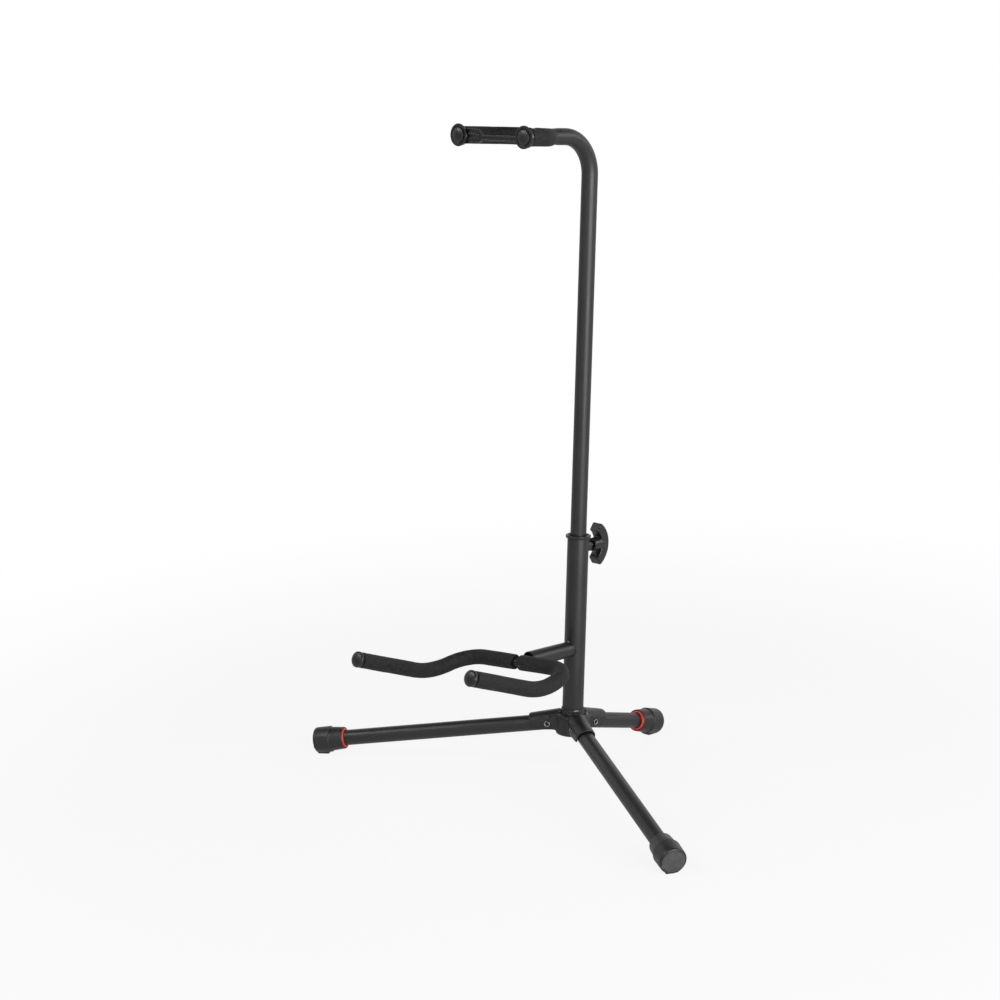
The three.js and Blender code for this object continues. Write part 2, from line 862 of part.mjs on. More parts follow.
function neckButtonGeometry(half) {
  const bore = forkRodDiameter / 2 + seatGap;
  const dome = buttonDome / 2;
  const rim = buttonDiameter / 2;
  const rimFace = rim - buttonDomeRise;
  const grooveFloor = buttonDomeRise + buttonGroove;
  return onTip(half, [
    [0, 0],
    ...quarterRound([buttonDomeRise, dome], [0, 0]).reverse().slice(1),
    [grooveFloor, dome],
    [grooveFloor, dome + buttonGroove],
    ...quarterRound([buttonFlange - buttonDomeRise, rim], [buttonDomeRise, rimFace]).reverse(),
    [buttonFlange, rim - buttonGroove],
    [buttonFlange, buttonPostDiameter / 2],
    [buttonBack, buttonPostDiameter / 2],
    [buttonBack, bore],
    [buttonFlange - seatGap, bore],
    [buttonFlange - seatGap, 0],
  ]);
}

// Strap between the two buttons, hanging on their posts.
function strapGeometry() {
  const half = forkHalfWidth + forkSplay;
  const front = -(buttonFace - buttonFlange - buttonPostLength / 2 + strapThickness / 2);
  const back = front + strapThickness;
  const tabEnd = strapTabStart + strapTabLength - half;
  const wideEnd = tabEnd - strapShoulder;
  const tab = strapTabWidth / 2;
  const band = strapBandWidth / 2;
  const outline = shapeOf([
    [-half, -tab],
    [wideEnd, -tab],
    [tabEnd, -band - strapBandDrop],
    [half, -band - strapBandDrop],
    [half, band - strapBandDrop],
    [tabEnd, band - strapBandDrop],
    [wideEnd, tab],
    [-half, tab],
  ]);
  const eye = (place) => slab(ringShape(strapEye, 0), front, back, 'y').translate(place, 0, 0);
  const hole = (place) => bar(0, 2 * buttonFace, strapHole, 'forward', boreSides).translate(place, 0, 0);
  const rib = (middle, start) => slab(
    rectangle(start, wideEnd, middle - strapRibWidth / 2, middle + strapRibWidth / 2),
    front - strapRibHeight, back - strapThickness / 2, 'y',
  );
  const edge = tab - strapRibWidth / 2;
  const ribs = [-edge, edge].map((middle) => rib(middle, strapTabStart - half))
    .concat([-strapInnerRib, strapInnerRib].map((middle) => rib(middle, strapTabStart + strapShoulder - half)));
  const strap = cut(
    join(slab(outline, front, back, 'y'), eye(-half), eye(half), ...ribs),
    hole(-half),
    hole(half),
  );
  return strap.translate(0, 0, seatGap - (strapHole - buttonPostDiameter) / 2);
}

// Finishes

const finishes = {
  paintedSteel: { color: 0x2b2c2e, roughness: 0.45, metalness: 0.35 },
  hubPlastic: { color: 0x1d1e20, roughness: 0.4, metalness: 0 },
  softPlastic: { color: 0x1a1a1c, roughness: 0.5, metalness: 0 },
  foam: { color: 0x232325, roughness: 0.95, metalness: 0 },
  rubber: { color: 0x1b1b1c, roughness: 0.7, metalness: 0 },
  redRubber: { color: 0xd8402f, roughness: 0.5, metalness: 0 },
  zincSteel: { color: 0xb9bbbd, roughness: 0.3, metalness: 1 },
  nylon: { color: 0x3a3a3c, roughness: 0.6, metalness: 0 },
};

function add(parent, name, finish, geometry) {
  const mesh = new THREE.Mesh(geometry, new THREE.MeshStandardMaterial(finishes[finish]));
  mesh.name = name;
  parent.add(mesh);
}

// Assembly

function build() {
  const stand = new THREE.Group();
  const upright = new THREE.Group();
  upright.rotation.x = -lean;
  stand.add(upright);

  add(upright, 'base_hub', 'hubPlastic', hubGeometry());
  add(upright, 'base_collar', 'softPlastic', collarGeometry());
  add(upright, 'lower_plug', 'nylon', plugGeometry());
  add(upright, 'hub_bolt', 'zincSteel', boltGeometry());
  add(upright, 'hub_washer', 'zincSteel', washerGeometry());
  for (const leg of legs) {
    const frame = new THREE.Group();
    frame.applyMatrix4(legFrame(leg));
    upright.add(frame);
    add(frame, `leg_tube_${leg.name}`, 'paintedSteel', legTubeGeometry(leg));
    add(frame, `leg_rivet_${leg.name}`, 'zincSteel', rivetGeometry());
    add(frame, `foot_${leg.name}`, 'rubber', footGeometry(leg));
    add(frame, `foot_ring_${leg.name}`, 'redRubber', footRingGeometry(leg));
  }

  add(upright, 'lower_tube', 'paintedSteel', lowerTubeGeometry());
  add(upright, 'top_bush', 'softPlastic', topBushGeometry());
  add(upright, 'upper_tube', 'paintedSteel', upperTubeGeometry());
  add(upright, 'slide_bush', 'nylon', slideBushGeometry());
  add(upright, 'clamp_nut', 'paintedSteel', nutGeometry());
  add(upright, 'clamp_pad', 'nylon', padGeometry());
  add(upright, 'clamp_stud', 'zincSteel', studGeometry());
  add(upright, 'clamp_knob', 'softPlastic', knobGeometry());

  add(upright, 'yoke_socket', 'paintedSteel', socketGeometry());
  add(upright, 'yoke_bush', 'nylon', yokeBushGeometry());
  const yoke = new THREE.Group();
  yoke.position.z = socketHeight;
  yoke.rotation.y = -yokeTurn;
  upright.add(yoke);
  add(yoke, 'yoke_rod', 'paintedSteel', yokeRodGeometry());
  for (const [side, half] of halves(yokeRight)) {
    add(yoke, `yoke_foam_${side}`, 'foam', yokeFoamGeometry(half));
    add(yoke, `yoke_cap_${side}`, 'softPlastic', yokeCapGeometry(half));
  }

  const neck = new THREE.Group();
  neck.position.z = neckHeight;
  upright.add(neck);
  add(neck, 'neck_fork', 'paintedSteel', neckForkGeometry());
  for (const [side, half] of halves(forkRight)) {
    add(neck, `neck_foam_${side}`, 'foam', neckFoamGeometry(half));
    add(neck, `neck_button_${side}`, 'softPlastic', neckButtonGeometry(half));
  }
  add(neck, 'neck_strap', 'rubber', strapGeometry());

  // The origin is on the floor, under the middle of the stand's box.
  const box = new THREE.Box3().setFromObject(stand, true);
  const centre = box.getCenter(new THREE.Vector3());
  stand.position.set(-centre.x, -centre.y, -box.min.z);
  stand.updateMatrixWorld(true);
  return stand;
}

export default build();
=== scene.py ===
import math

import bmesh
import bpy
from mathutils import Matrix, Quaternion, Vector, noise


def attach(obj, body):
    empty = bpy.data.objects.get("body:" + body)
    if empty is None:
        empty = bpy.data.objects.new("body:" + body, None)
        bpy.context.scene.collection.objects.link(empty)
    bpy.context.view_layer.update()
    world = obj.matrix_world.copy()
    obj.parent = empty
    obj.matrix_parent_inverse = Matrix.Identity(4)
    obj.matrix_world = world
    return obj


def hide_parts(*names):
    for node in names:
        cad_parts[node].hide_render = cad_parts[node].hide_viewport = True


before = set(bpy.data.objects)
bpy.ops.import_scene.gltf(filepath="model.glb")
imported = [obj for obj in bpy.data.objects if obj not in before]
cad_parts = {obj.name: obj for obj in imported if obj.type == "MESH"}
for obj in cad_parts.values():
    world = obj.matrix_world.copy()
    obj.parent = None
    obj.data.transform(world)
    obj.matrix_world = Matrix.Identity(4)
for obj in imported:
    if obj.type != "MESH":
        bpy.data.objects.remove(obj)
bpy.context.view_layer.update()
print("frame loaded")

# Where things stand

stand = {
    "lean": 5.3303,                    # degrees that the upright leans back
    "origin": (0.0, 51.569, 60.635),   # point where the leg axes meet
    "pivotReach": 28.5,
    "socketHeight": 88.8,
    "yokeTurn": 5.1,
    "neckHeight": 691.0,
    "clampHeight": 212.0,
}
legs = {
    "front_left": {"turn": -151.5, "slope": 10.5, "reach": 332.0},
    "front_right": {"turn": -28.5, "slope": 10.5, "reach": 332.0},
    "rear": {"turn": 90.0, "slope": 12.0, "reach": 161.0},
}
for leg in legs.values():
    slope = math.radians(leg["slope"])
    leg["length"] = leg["reach"] - stand["pivotReach"] / math.cos(slope)
    leg["drop"] = stand["pivotReach"] * math.tan(slope)
halves = {"right": 1, "left": -1}
seatGap = 0.3
millimetre = 0.001


def turn(degrees, axis):
    return Matrix.Rotation(math.radians(degrees), 4, axis)


def move(x, y, z):
    return Matrix.Translation((x, y, z))


alongX = turn(90, "Y")
backwards = turn(-90, "X")
forwards = turn(90, "X")
standUp = turn(90, "Z") @ turn(90, "X")    # x becomes the way back, y up and z the way across
standing = move(*stand["origin"]) @ turn(-stand["lean"], "X")
upright = Matrix.Scale(millimetre, 4) @ standing
yokePlace = upright @ move(0, 0, stand["socketHeight"]) @ turn(-stand["yokeTurn"], "Y")
neckPlace = upright @ move(0, 0, stand["neckHeight"])
clampPlace = move(0, 0, stand["clampHeight"]) @ backwards
socketPlace = move(0, 0, stand["socketHeight"]) @ forwards


def legPlace(leg):
    return (upright @ turn(leg["turn"], "Z") @ move(stand["pivotReach"], 0, -leg["drop"])
            @ turn(leg["slope"], "Y"))


# Camera and lights

view = {
    "azimuth": 43.607,
    "elevation": 10.872,
    "roll": 1.401,
    "distance": 2449.99,
    "aimAcross": -93.042,
    "aimUp": 266.029,
    "focalPixels": 2076.96,
    "picturePixels": 1000,
    "shiftPixels": 0.5,
    "sensor": 36.0,
    "clip": (0.05, 100.0),
}


def makeCamera():
    azimuth, elevation, roll = (math.radians(view[key])
                                for key in ("azimuth", "elevation", "roll"))
    towards = Vector((math.sin(azimuth) * math.cos(elevation),
                      -math.cos(azimuth) * math.cos(elevation), math.sin(elevation)))
    level = Vector((math.cos(azimuth), math.sin(azimuth), 0))
    above = level.cross(-towards)
    across = level * math.cos(roll) + above * math.sin(roll)
    up = above * math.cos(roll) - level * math.sin(roll)
    aim = level * view["aimAcross"] + Vector((0, 0, view["aimUp"]))
    turned = Matrix((across, up, towards)).transposed().to_4x4()
    data = bpy.data.cameras.new("pictureCamera")
    data.sensor_width = view["sensor"]
    data.lens = view["sensor"] * view["focalPixels"] / view["picturePixels"]
    data.shift_x = -view["shiftPixels"] / view["picturePixels"]
    data.shift_y = view["shiftPixels"] / view["picturePixels"]
    data.clip_start, data.clip_end = view["clip"]
    camera = bpy.data.objects.new("pictureCamera", data)
    world = standing @ Matrix.Translation(aim + towards * view["distance"]) @ turned
    world.translation *= millimetre
    camera.matrix_world = world
    bpy.context.collection.objects.link(camera)
    bpy.context.scene.camera = camera


lamps = {
    "keyBox": {"place": (2.45, -0.5, 0.92), "size": (1.7, 0.95), "power": 62.0},
    "topBox": {"place": (-0.45, -1.65, 2.0), "size": (1.5, 0.45), "power": 12.0},
    "sideBox": {"place": (-1.45, -1.7, 2.0), "size": (0.9, 0.7), "power": 14.0},
    "frontBox": {"place": (0.9, -2.8, 1.15), "size": (1.8, 0.9), "power": 8.0},
    "rearBox": {"place": (1.75, 1.95, 1.3), "size": (0.9, 1.1), "power": 16.0},
}
lampAim = Vector((0, -0.05, 0.35))


def makeLamps():
    for name, lamp in lamps.items():
        data = bpy.data.lights.new(name, "AREA")
        data.shape = "RECTANGLE"
        data.size, data.size_y = lamp["size"]
        data.energy = lamp["power"]
        light = bpy.data.objects.new(name, data)
        place = Vector(lamp["place"])
        light.location = place
        light.rotation_euler = (place - lampAim).to_track_quat("Z", "Y").to_euler()
        bpy.context.collection.objects.link(light)


# Shader nodes, whose inputs are named or numbered and take a link or a plain value


def feed(tree, node, inputs):
    for key, source in dict(inputs).items():
        if isinstance(source, bpy.types.NodeSocket):
            tree.links.new(source, node.inputs[key])
        else:
            node.inputs[key].default_value = source


def nodeOf(tree, kind, inputs=(), **settings):
    node = tree.nodes.new("ShaderNode" + kind)
    for key, value in settings.items():
        setattr(node, key, value)
    feed(tree, node, inputs)
    return node


def mathNode(tree, operation, *sources, **settings):
    return nodeOf(tree, "Math", enumerate(sources), operation=operation, **settings).outputs[0]


def spread(tree, source, low, high, toLow=0.0, toHigh=1.0):
    ends = {"From Min": low, "From Max": high, "To Min": toLow, "To Max": toHigh}
    return nodeOf(tree, "MapRange", {"Value": source, **ends},
                  interpolation_type="SMOOTHSTEP").outputs[0]


def mixColour(tree, share, first, second):
    return nodeOf(tree, "Mix", {0: share, 6: first, 7: second}, data_type="RGBA").outputs[2]


def mixShader(tree, share, first, second):
    inputs = {0: share, 1: first.outputs[0], 2: second.outputs[0]}
    return nodeOf(tree, "MixShader", inputs).outputs[0]


def noiseNode(tree, place, size, detail, roughness=0.5):
    scale = mathNode(tree, "DIVIDE", 1.0, size)
    inputs = {"Vector": place, "Scale": scale, "Detail": detail, "Roughness": roughness}
    return nodeOf(tree, "TexNoise", inputs).outputs[0]


# Floor and surroundings

stage = {
    "floorRadius": 6.0,
    "floorSides": 96,
    "fadeStart": 0.45,
    "fadeEnd": 1.3,
    "floorColour": (0.66, 0.66, 0.66, 1),
    "floorLift": 0.88,                # share of plain white in what the camera sees of the floor
    "floorSheen": 0.5,                # share of that white which shows in glossy things
    "skyStrength": 0.6,               # light of the surroundings on what stands in them
    "backdrop": (-0.66, 0.75, 0.0),   # where the white backdrop stands
    "backdropFades": (0.25, 0.75),    # how far a direction faces it, from room to white
    "room": 0.36,
    "skyFades": (0.42, 0.75),         # height over which the walls give way to the ceiling
    "ceiling": 0.16,
    "white": (1, 1, 1, 1),
}


def backgroundRays(tree, polished=1.0):
    # 1 where the camera looks directly, and a share of that by way of glossy or clear things
    rays = nodeOf(tree, "LightPath").outputs
    mirrored = mathNode(tree, "MAXIMUM", rays["Is Glossy Ray"], rays["Is Transmission Ray"])
    return mathNode(tree, "MULTIPLY_ADD", mirrored, polished, rays["Is Camera Ray"],
                    use_clamp=True)


def makeWorld():
    world = bpy.data.worlds.new("paleStudio")
    bpy.context.scene.world = world
    world.use_nodes = True
    tree = world.node_tree
    tree.nodes.clear()
    direction = nodeOf(tree, "TexCoord").outputs["Generated"]
    height = nodeOf(tree, "SeparateXYZ", {0: direction}).outputs["Z"]
    behind = nodeOf(tree, "VectorMath", {0: direction, 1: stage["backdrop"]},
                    operation="DOT_PRODUCT").outputs["Value"]
    walls = spread(tree, behind, *stage["backdropFades"], stage["room"], 1)
    ceiling = spread(tree, height, *stage["skyFades"], 1, stage["ceiling"])
    around = mathNode(tree, "MULTIPLY", walls, ceiling)
    # the camera itself sees plain white on every side
    seen = mathNode(tree, "MAXIMUM", around, nodeOf(tree, "LightPath").outputs["Is Camera Ray"])
    dimmed = mathNode(tree, "MULTIPLY", around, stage["skyStrength"])
    soft, plain = (nodeOf(tree, "Background", {"Strength": strength, "Color": stage["white"]})
                   for strength in (dimmed, seen))
    nodeOf(tree, "OutputWorld", {"Surface": mixShader(tree, backgroundRays(tree), soft, plain)})


def makeFloor():
    bm = bmesh.new()
    bmesh.ops.create_circle(bm, cap_ends=True, radius=stage["floorRadius"],
                            segments=stage["floorSides"])
    mesh = bpy.data.meshes.new("paleFloor")
    bm.to_mesh(mesh)
    bm.free()
    floor = bpy.data.objects.new("paleFloor", mesh)
    bpy.context.collection.objects.link(floor)
    material = bpy.data.materials.new("paleFloor")
    material.use_nodes = True
    tree = material.node_tree
    tree.nodes.clear()
    place = nodeOf(tree, "TexCoord").outputs["Object"]
    away = nodeOf(tree, "VectorMath", {0: place}, operation="LENGTH").outputs["Value"]
    fade = spread(tree, away, stage["fadeStart"], stage["fadeEnd"], stage["floorLift"], 1)
    share = mathNode(tree, "MULTIPLY", fade, backgroundRays(tree, stage["floorSheen"]))
    matt = nodeOf(tree, "BsdfDiffuse", {"Color": stage["floorColour"]})
    surface = mixShader(tree, share, matt, nodeOf(tree, "Emission"))
    nodeOf(tree, "OutputMaterial", {"Surface": surface})
    mesh.materials.append(material)


makeCamera()
makeLamps()
makeWorld()
makeFloor()
bpy.context.scene.view_settings.view_transform = "Standard"
print("camera, lamps and floor ready")

# Finishes: three shared effects, then one material for each finish

effects = {
    "grainDetail": 3.0, "grainRoughness": 0.6, "patchDetail": 3.0, "patchFades": (0.32, 0.68),
    "filmFades": (0.1, 1.0), "filmDetail": 4.0, "filmRoughness": 0.7, "filmBreaks": (0.3, 0.7),
    "speckFades": (0.05, 0.12), "dustColour": (0.24, 0.235, 0.225, 1), "dustRoughness": 0.3,
    "edgeRadius": 0.0007, "edgeSamples": 4, "edgeFades": (0.93, 0.995),
    "breakSize": 0.004, "breakDetail": 3.0, "breakFades": (0.35, 0.65), "leastWear": 0.35,
}


def makeGroup(name, inputs, outputs):
    group = bpy.data.node_groups.new(name, "ShaderNodeTree")
    for direction, sockets in (("INPUT", inputs), ("OUTPUT", outputs)):
        for socket, kind in sockets.items():
            group.interface.new_socket(socket, in_out=direction, socket_type="NodeSocket" + kind)
    entry, leave = (group.nodes.new("NodeGroup" + end) for end in ("Input", "Output"))
    return group, entry.outputs, leave


def makeGrain():
    group, given, leave = makeGroup(
        "mouldedGrain", {"Place": "Vector", "Grain Size": "Float", "Patch Size": "Float"},
        {"Height": "Float", "Patches": "Float"})
    fine = noiseNode(group, given["Place"], given["Grain Size"], effects["grainDetail"],
                     effects["grainRoughness"])
    broad = noiseNode(group, given["Place"], given["Patch Size"], effects["patchDetail"])
    patches = spread(group, broad, *effects["patchFades"])
    feed(group, leave, {"Height": fine, "Patches": patches})
    return group


def makeDust():
    group, given, leave = makeGroup(
        "settledDust", {"Place": "Vector", "Colour": "Color", "Dust Colour": "Color",
                        "Film": "Float", "Specks": "Float", "Speck Size": "Float"},
        {"Colour": "Color", "Cover": "Float"})
    place, speckSize = given["Place"], given["Speck Size"]
    normal = nodeOf(group, "TexCoord").outputs["Normal"]
    upwards = nodeOf(group, "SeparateXYZ", {0: normal}).outputs["Z"]
    lying = mathNode(group, "MULTIPLY", spread(group, upwards, *effects["filmFades"]),
                     given["Film"])
    broken = noiseNode(group, place, speckSize, effects["filmDetail"], effects["filmRoughness"])
    film = mathNode(group, "MULTIPLY", lying, spread(group, broken, *effects["filmBreaks"]))
    scale = mathNode(group, "DIVIDE", 1.0, speckSize)
    cells = nodeOf(group, "TexVoronoi", {"Vector": place, "Scale": scale}).outputs
    near = spread(group, cells["Distance"], *effects["speckFades"], 1.0, 0.0)
    chosen = nodeOf(group, "SeparateColor", {0: cells["Color"]}).outputs[0]
    few = mathNode(group, "LESS_THAN", chosen, given["Specks"])
    cover = mathNode(group, "MAXIMUM", film, mathNode(group, "MULTIPLY", near, few))
    dusty = mixColour(group, cover, given["Colour"], given["Dust Colour"])
    feed(group, leave, {"Colour": dusty, "Cover": cover})
    return group


def makeRubbedEdges():
    group, given, leave = makeGroup(
        "rubbedEdges", {"Place": "Vector", "Colour": "Color", "Worn Colour": "Color",
                        "Wear": "Float"},
        {"Colour": "Color"})
    bevel = nodeOf(group, "Bevel", {"Radius": effects["edgeRadius"]},
                   samples=effects["edgeSamples"]).outputs[0]
    normal = nodeOf(group, "NewGeometry").outputs["Normal"]
    match = nodeOf(group, "VectorMath", {0: bevel, 1: normal}, operation="DOT_PRODUCT")
    edge = spread(group, match.outputs["Value"], *effects["edgeFades"], 1.0, 0.0)
    broken = noiseNode(group, given["Place"], effects["breakSize"], effects["breakDetail"])
    rubbed = spread(group, broken, *effects["breakFades"], effects["leastWear"], 1.0)
    worn = mathNode(group, "MULTIPLY", mathNode(group, "MULTIPLY", edge, rubbed), given["Wear"])
    feed(group, leave, {"Colour": mixColour(group, worn, given["Colour"], given["Worn Colour"])})
    return group


grainGroup = makeGrain()
dustGroup = makeDust()
edgeGroup = makeRubbedEdges()

plainLook = {"metallic": 0.0, "specular": 0.5, "specks": 0.0, "speckSize": 0.004}
darkPlastic = {
    "colours": ((0.0055, 0.0055, 0.0057), (0.0085, 0.0085, 0.0088)), "worn": (0.06, 0.06, 0.06),
}
bareSteel = {
    "roughness": (0.36, 0.50), "metallic": 1.0, "grain": 0.0005, "depth": 0.00001, "patch": 0.003,
}
finishes = {
    "paintedSteel": {
        "colours": ((0.0055, 0.0056, 0.0058), (0.0080, 0.0081, 0.0084)),
        "worn": (0.05, 0.05, 0.052), "wear": 0.2, "roughness": (0.4, 0.46), "specular": 0.55,
        "grain": 0.0009, "depth": 0.000010, "patch": 0.04, "film": 0.02,
    },
    "hubPlastic": {
        **darkPlastic, "wear": 0.10, "roughness": (0.36, 0.46),
        "grain": 0.0007, "depth": 0.000012, "patch": 0.02, "film": 0.03, "specks": 0.003,
    },
    "softPlastic": {
        **darkPlastic, "wear": 0.08, "roughness": (0.32, 0.40),
        "grain": 0.0006, "depth": 0.000004, "patch": 0.015, "film": 0.03,
    },
    "footRubber": {
        "colours": ((0.0075, 0.0075, 0.0077), (0.0115, 0.0115, 0.0118)),
        "worn": (0.07, 0.07, 0.07), "wear": 0.15, "roughness": (0.38, 0.48),
        "grain": 0.0008, "depth": 0.000012, "patch": 0.012, "film": 0.05, "specks": 0.004,
    },
    # painted reflection: the end disc of each foot is coloured lighter to stand for the pale
    # floor that it reflects; the lighter edges on top of that are wear
    "paintedReflectionRubber": {
        "colours": ((0.044, 0.044, 0.0445), (0.066, 0.066, 0.0665)),
        "worn": (0.12, 0.12, 0.12), "wear": 0.4, "roughness": (0.42, 0.52),
        "grain": 0.0010, "depth": 0.00006, "patch": 0.008, "film": 0.05, "specks": 0.01,
    },
    "strapRubber": {
        "colours": ((0.0070, 0.0070, 0.0072), (0.0100, 0.0100, 0.0103)),
        "worn": (0.08, 0.08, 0.08), "wear": 0.15, "roughness": (0.28, 0.36), "specular": 0.45,
        "grain": 0.0005, "depth": 0.000004, "patch": 0.012, "film": 0.03,
    },
    "redRubber": {
        "colours": ((0.60, 0.042, 0.026), (0.68, 0.058, 0.036)),
        "worn": (0.80, 0.22, 0.18), "wear": 0.2, "roughness": (0.36, 0.46), "specular": 0.35,
        "grain": 0.0006, "depth": 0.000006, "patch": 0.008, "film": 0.03,
    },
    "zincSteel": {
        **bareSteel, "colours": ((0.20, 0.20, 0.197), (0.30, 0.30, 0.293)),
        "worn": (0.42, 0.42, 0.41), "wear": 0.4, "film": 0.04,
    },
    # painted shade: the clamp screw's steel is coloured near black to stand for the shade in the
    # gap between the knob and the lower tube, where it shows
    "shadeDarkSteel": {
        **bareSteel, "colours": ((0.030, 0.030, 0.031), (0.050, 0.050, 0.051)),
        "worn": (0.16, 0.16, 0.16), "wear": 0.3, "film": 0.02,
    },
    "plainNylon": {
        "colours": ((0.012, 0.012, 0.0125), (0.018, 0.018, 0.0185)),
        "worn": (0.09, 0.09, 0.09), "wear": 0.2, "roughness": (0.34, 0.46), "specular": 0.3,
        "grain": 0.0006, "depth": 0.00002, "patch": 0.01, "film": 0.03,
    },
    "closedFoam": {
        "colours": ((0.0060, 0.0059, 0.0060), (0.0200, 0.0198, 0.0197)),
        "worn": (0.03, 0.03, 0.03), "wear": 0.15, "roughness": (0.62, 0.78), "specular": 0.24,
        "grain": 0.0012, "depth": 0.00045, "patch": 0.0035, "film": 0.03, "specks": 0.05,
        "speckSize": 0.009,
    },
}


def makeFinish(name, chosen):
    look = {**plainLook, **chosen}
    light, dark, worn = ((*colour, 1) for colour in (*look["colours"], look["worn"]))
    material = bpy.data.materials.new(name)
    material.use_nodes = True
    tree = material.node_tree
    coordinates = nodeOf(tree, "TexCoord").outputs["Object"]
    place = nodeOf(tree, "Mapping", {"Vector": coordinates}).outputs["Vector"]
    grain = nodeOf(tree, "Group", {
        "Place": place, "Grain Size": look["grain"], "Patch Size": look["patch"],
    }, node_tree=grainGroup).outputs
    dust = nodeOf(tree, "Group", {
        "Place": place, "Colour": mixColour(tree, grain["Patches"], light, dark),
        "Dust Colour": effects["dustColour"], "Film": look["film"], "Specks": look["specks"],
        "Speck Size": look["speckSize"],
    }, node_tree=dustGroup).outputs
    edges = nodeOf(tree, "Group", {
        "Place": place, "Colour": dust["Colour"], "Worn Colour": worn, "Wear": look["wear"],
    }, node_tree=edgeGroup).outputs
    dusted = mathNode(tree, "MULTIPLY", dust["Cover"], effects["dustRoughness"])
    rough = mathNode(tree, "ADD", spread(tree, grain["Patches"], 0.0, 1.0, *look["roughness"]),
                     dusted)
    bump = nodeOf(tree, "Bump", {"Strength": 1, "Distance": look["depth"],
                                 "Height": grain["Height"]})
    feed(tree, tree.nodes["Principled BSDF"], {
        "Base Color": edges["Colour"], "Roughness": rough, "Normal": bump.outputs["Normal"],
        "Specular IOR Level": look["specular"], "Metallic": look["metallic"],
    })
    return material


materials = {name: makeFinish(name, look) for name, look in finishes.items()}
print("finishes ready")

# Making helpers

making = {
    "sides": 96, "cornerSteps": 5,
    "cornerShare": 0.49,       # most of a side that the rounding at one of its ends takes
    "bendDegrees": 3.0, "leastBendSteps": 4,
    "spunMerge": 0.0005, "bridgedMerge": 0.003, "leastRadius": 0.001, "stopsApart": 0.2,
    "sharpDegrees": 35, "smoothDegrees": 60,
}


def softened(corners, closed=False, steps=making["cornerSteps"]):
    # each corner of an outline is (distance, radius, rounding)
    points = []
    for index, (distance, radius, rounding) in enumerate(corners):
        here = Vector((distance, radius))
        atEnd = not closed and index in (0, len(corners) - 1)
        if atEnd or rounding == 0:
            points.append((distance, radius))
            continue
        back = Vector(corners[index - 1][:2]) - here
        onward = Vector(corners[(index + 1) % len(corners)][:2]) - here
        reach = min(rounding / math.tan(back.angle(onward) / 2),
                    back.length * making["cornerShare"], onward.length * making["cornerShare"])
        start = here + back.normalized() * reach
        end = here + onward.normalized() * reach
        for step in range(steps + 1):
            share = step / steps
            point = start.lerp(here, share).lerp(here.lerp(end, share), share)
            points.append((point.x, point.y))
    return points


def quarter(steps):
    # angles over a quarter turn, both ends included
    return [math.radians(90 * step / steps) for step in range(steps + 1)]


def arcPoints(centre, radius, start, end, steps):
    angles = [math.radians(start + (end - start) * step / steps) for step in range(steps + 1)]
    return [(centre[0] + radius * math.cos(angle), centre[1] + radius * math.sin(angle))
            for angle in angles]


def crowned(rise, radius, steps):
    # the dome on an end, from its top to just short of its rim
    return [(rise * (1 - math.cos(angle)), radius * math.sin(angle))
            for angle in quarter(steps)[:-1]]


def finished(bm, merge):
    bmesh.ops.remove_doubles(bm, verts=bm.verts[:], dist=merge)
    bmesh.ops.recalc_face_normals(bm, faces=bm.faces[:])
    return bm


def spun(outline, sides=making["sides"], closed=False):
    # (distance, radius) pairs turned round the Z axis
    bm = bmesh.new()
    verts = [bm.verts.new((radius, 0, distance)) for distance, radius in outline]
    edges = [bm.edges.new(pair) for pair in zip(verts, verts[1:])]
    if closed:
        edges.append(bm.edges.new((verts[-1], verts[0])))
    bmesh.ops.spin(bm, geom=verts + edges, cent=(0, 0, 0), axis=(0, 0, 1), dvec=(0, 0, 0),
                   angle=math.tau, steps=sides, use_merge=True, use_duplicate=False)
    return finished(bm, making["spunMerge"])


def bent(corners, bends, degreesPerStep=making["bendDegrees"]):
    # points of a bent rod: straight runs joined by arcs
    points = [Vector(corners[0])]
    for index, radius in enumerate(bends):
        before, corner, after = (Vector(point) for point in corners[index:index + 3])
        back = (before - corner).normalized()
        onward = (after - corner).normalized()
        half = back.angle(onward) / 2
        centre = corner + (back + onward).normalized() * (radius / math.sin(half))
        first = corner + back * (radius / math.tan(half)) - centre
        last = corner + onward * (radius / math.tan(half)) - centre
        sweep = first.angle(last)
        axis = first.cross(last).normalized()
        steps = max(making["leastBendSteps"], round(math.degrees(sweep) / degreesPerStep))
        for step in range(steps + 1):
            points.append(centre + Quaternion(axis, sweep * step / steps) @ first)
    points.append(Vector(corners[-1]))
    return points


class Rod:
    # frames along a line of points, carried on without twist
    def __init__(self, points):
        self.points = points
        self.marks = [0.0]
        for before, after in zip(points, points[1:]):
            self.marks.append(self.marks[-1] + (after - before).length)
        self.length = self.marks[-1]
        directions = [(after - before).normalized() for before, after in zip(points, points[1:])]
        heading = Vector((0, 0, 1)).rotation_difference(directions[0])
        self.headings = [heading.copy()]
        for before, after in zip(directions, directions[1:]):
            swing = before.rotation_difference(after)
            halfway = Quaternion().slerp(swing, 0.5)
            self.headings.append(halfway @ heading)
            heading = swing @ heading
        self.headings.append(heading)

    def at(self, distance):
        last = len(self.points) - 2
        index = 0
        while index < last and self.marks[index + 1] < distance:
            index += 1
        span = self.marks[index + 1] - self.marks[index]
        share = (distance - self.marks[index]) / span
        place = self.points[index] + (self.points[index + 1] - self.points[index]) * share
        heading = self.headings[index].slerp(self.headings[index + 1], min(max(share, 0), 1))
        return Matrix.Translation(place) @ heading.to_matrix().to_4x4()

    def stops(self, start, end, spacing=None):
        apart = making["stopsApart"]
        stops = [start, *(mark for mark in self.marks if start + apart < mark < end - apart), end]
        if spacing is None:
            return stops
        finer = [start]
        for before, after in zip(stops, stops[1:]):
            count = max(1, round((after - before) / spacing))
            finer += [before + (after - before) * step / count for step in range(1, count + 1)]
        return finer


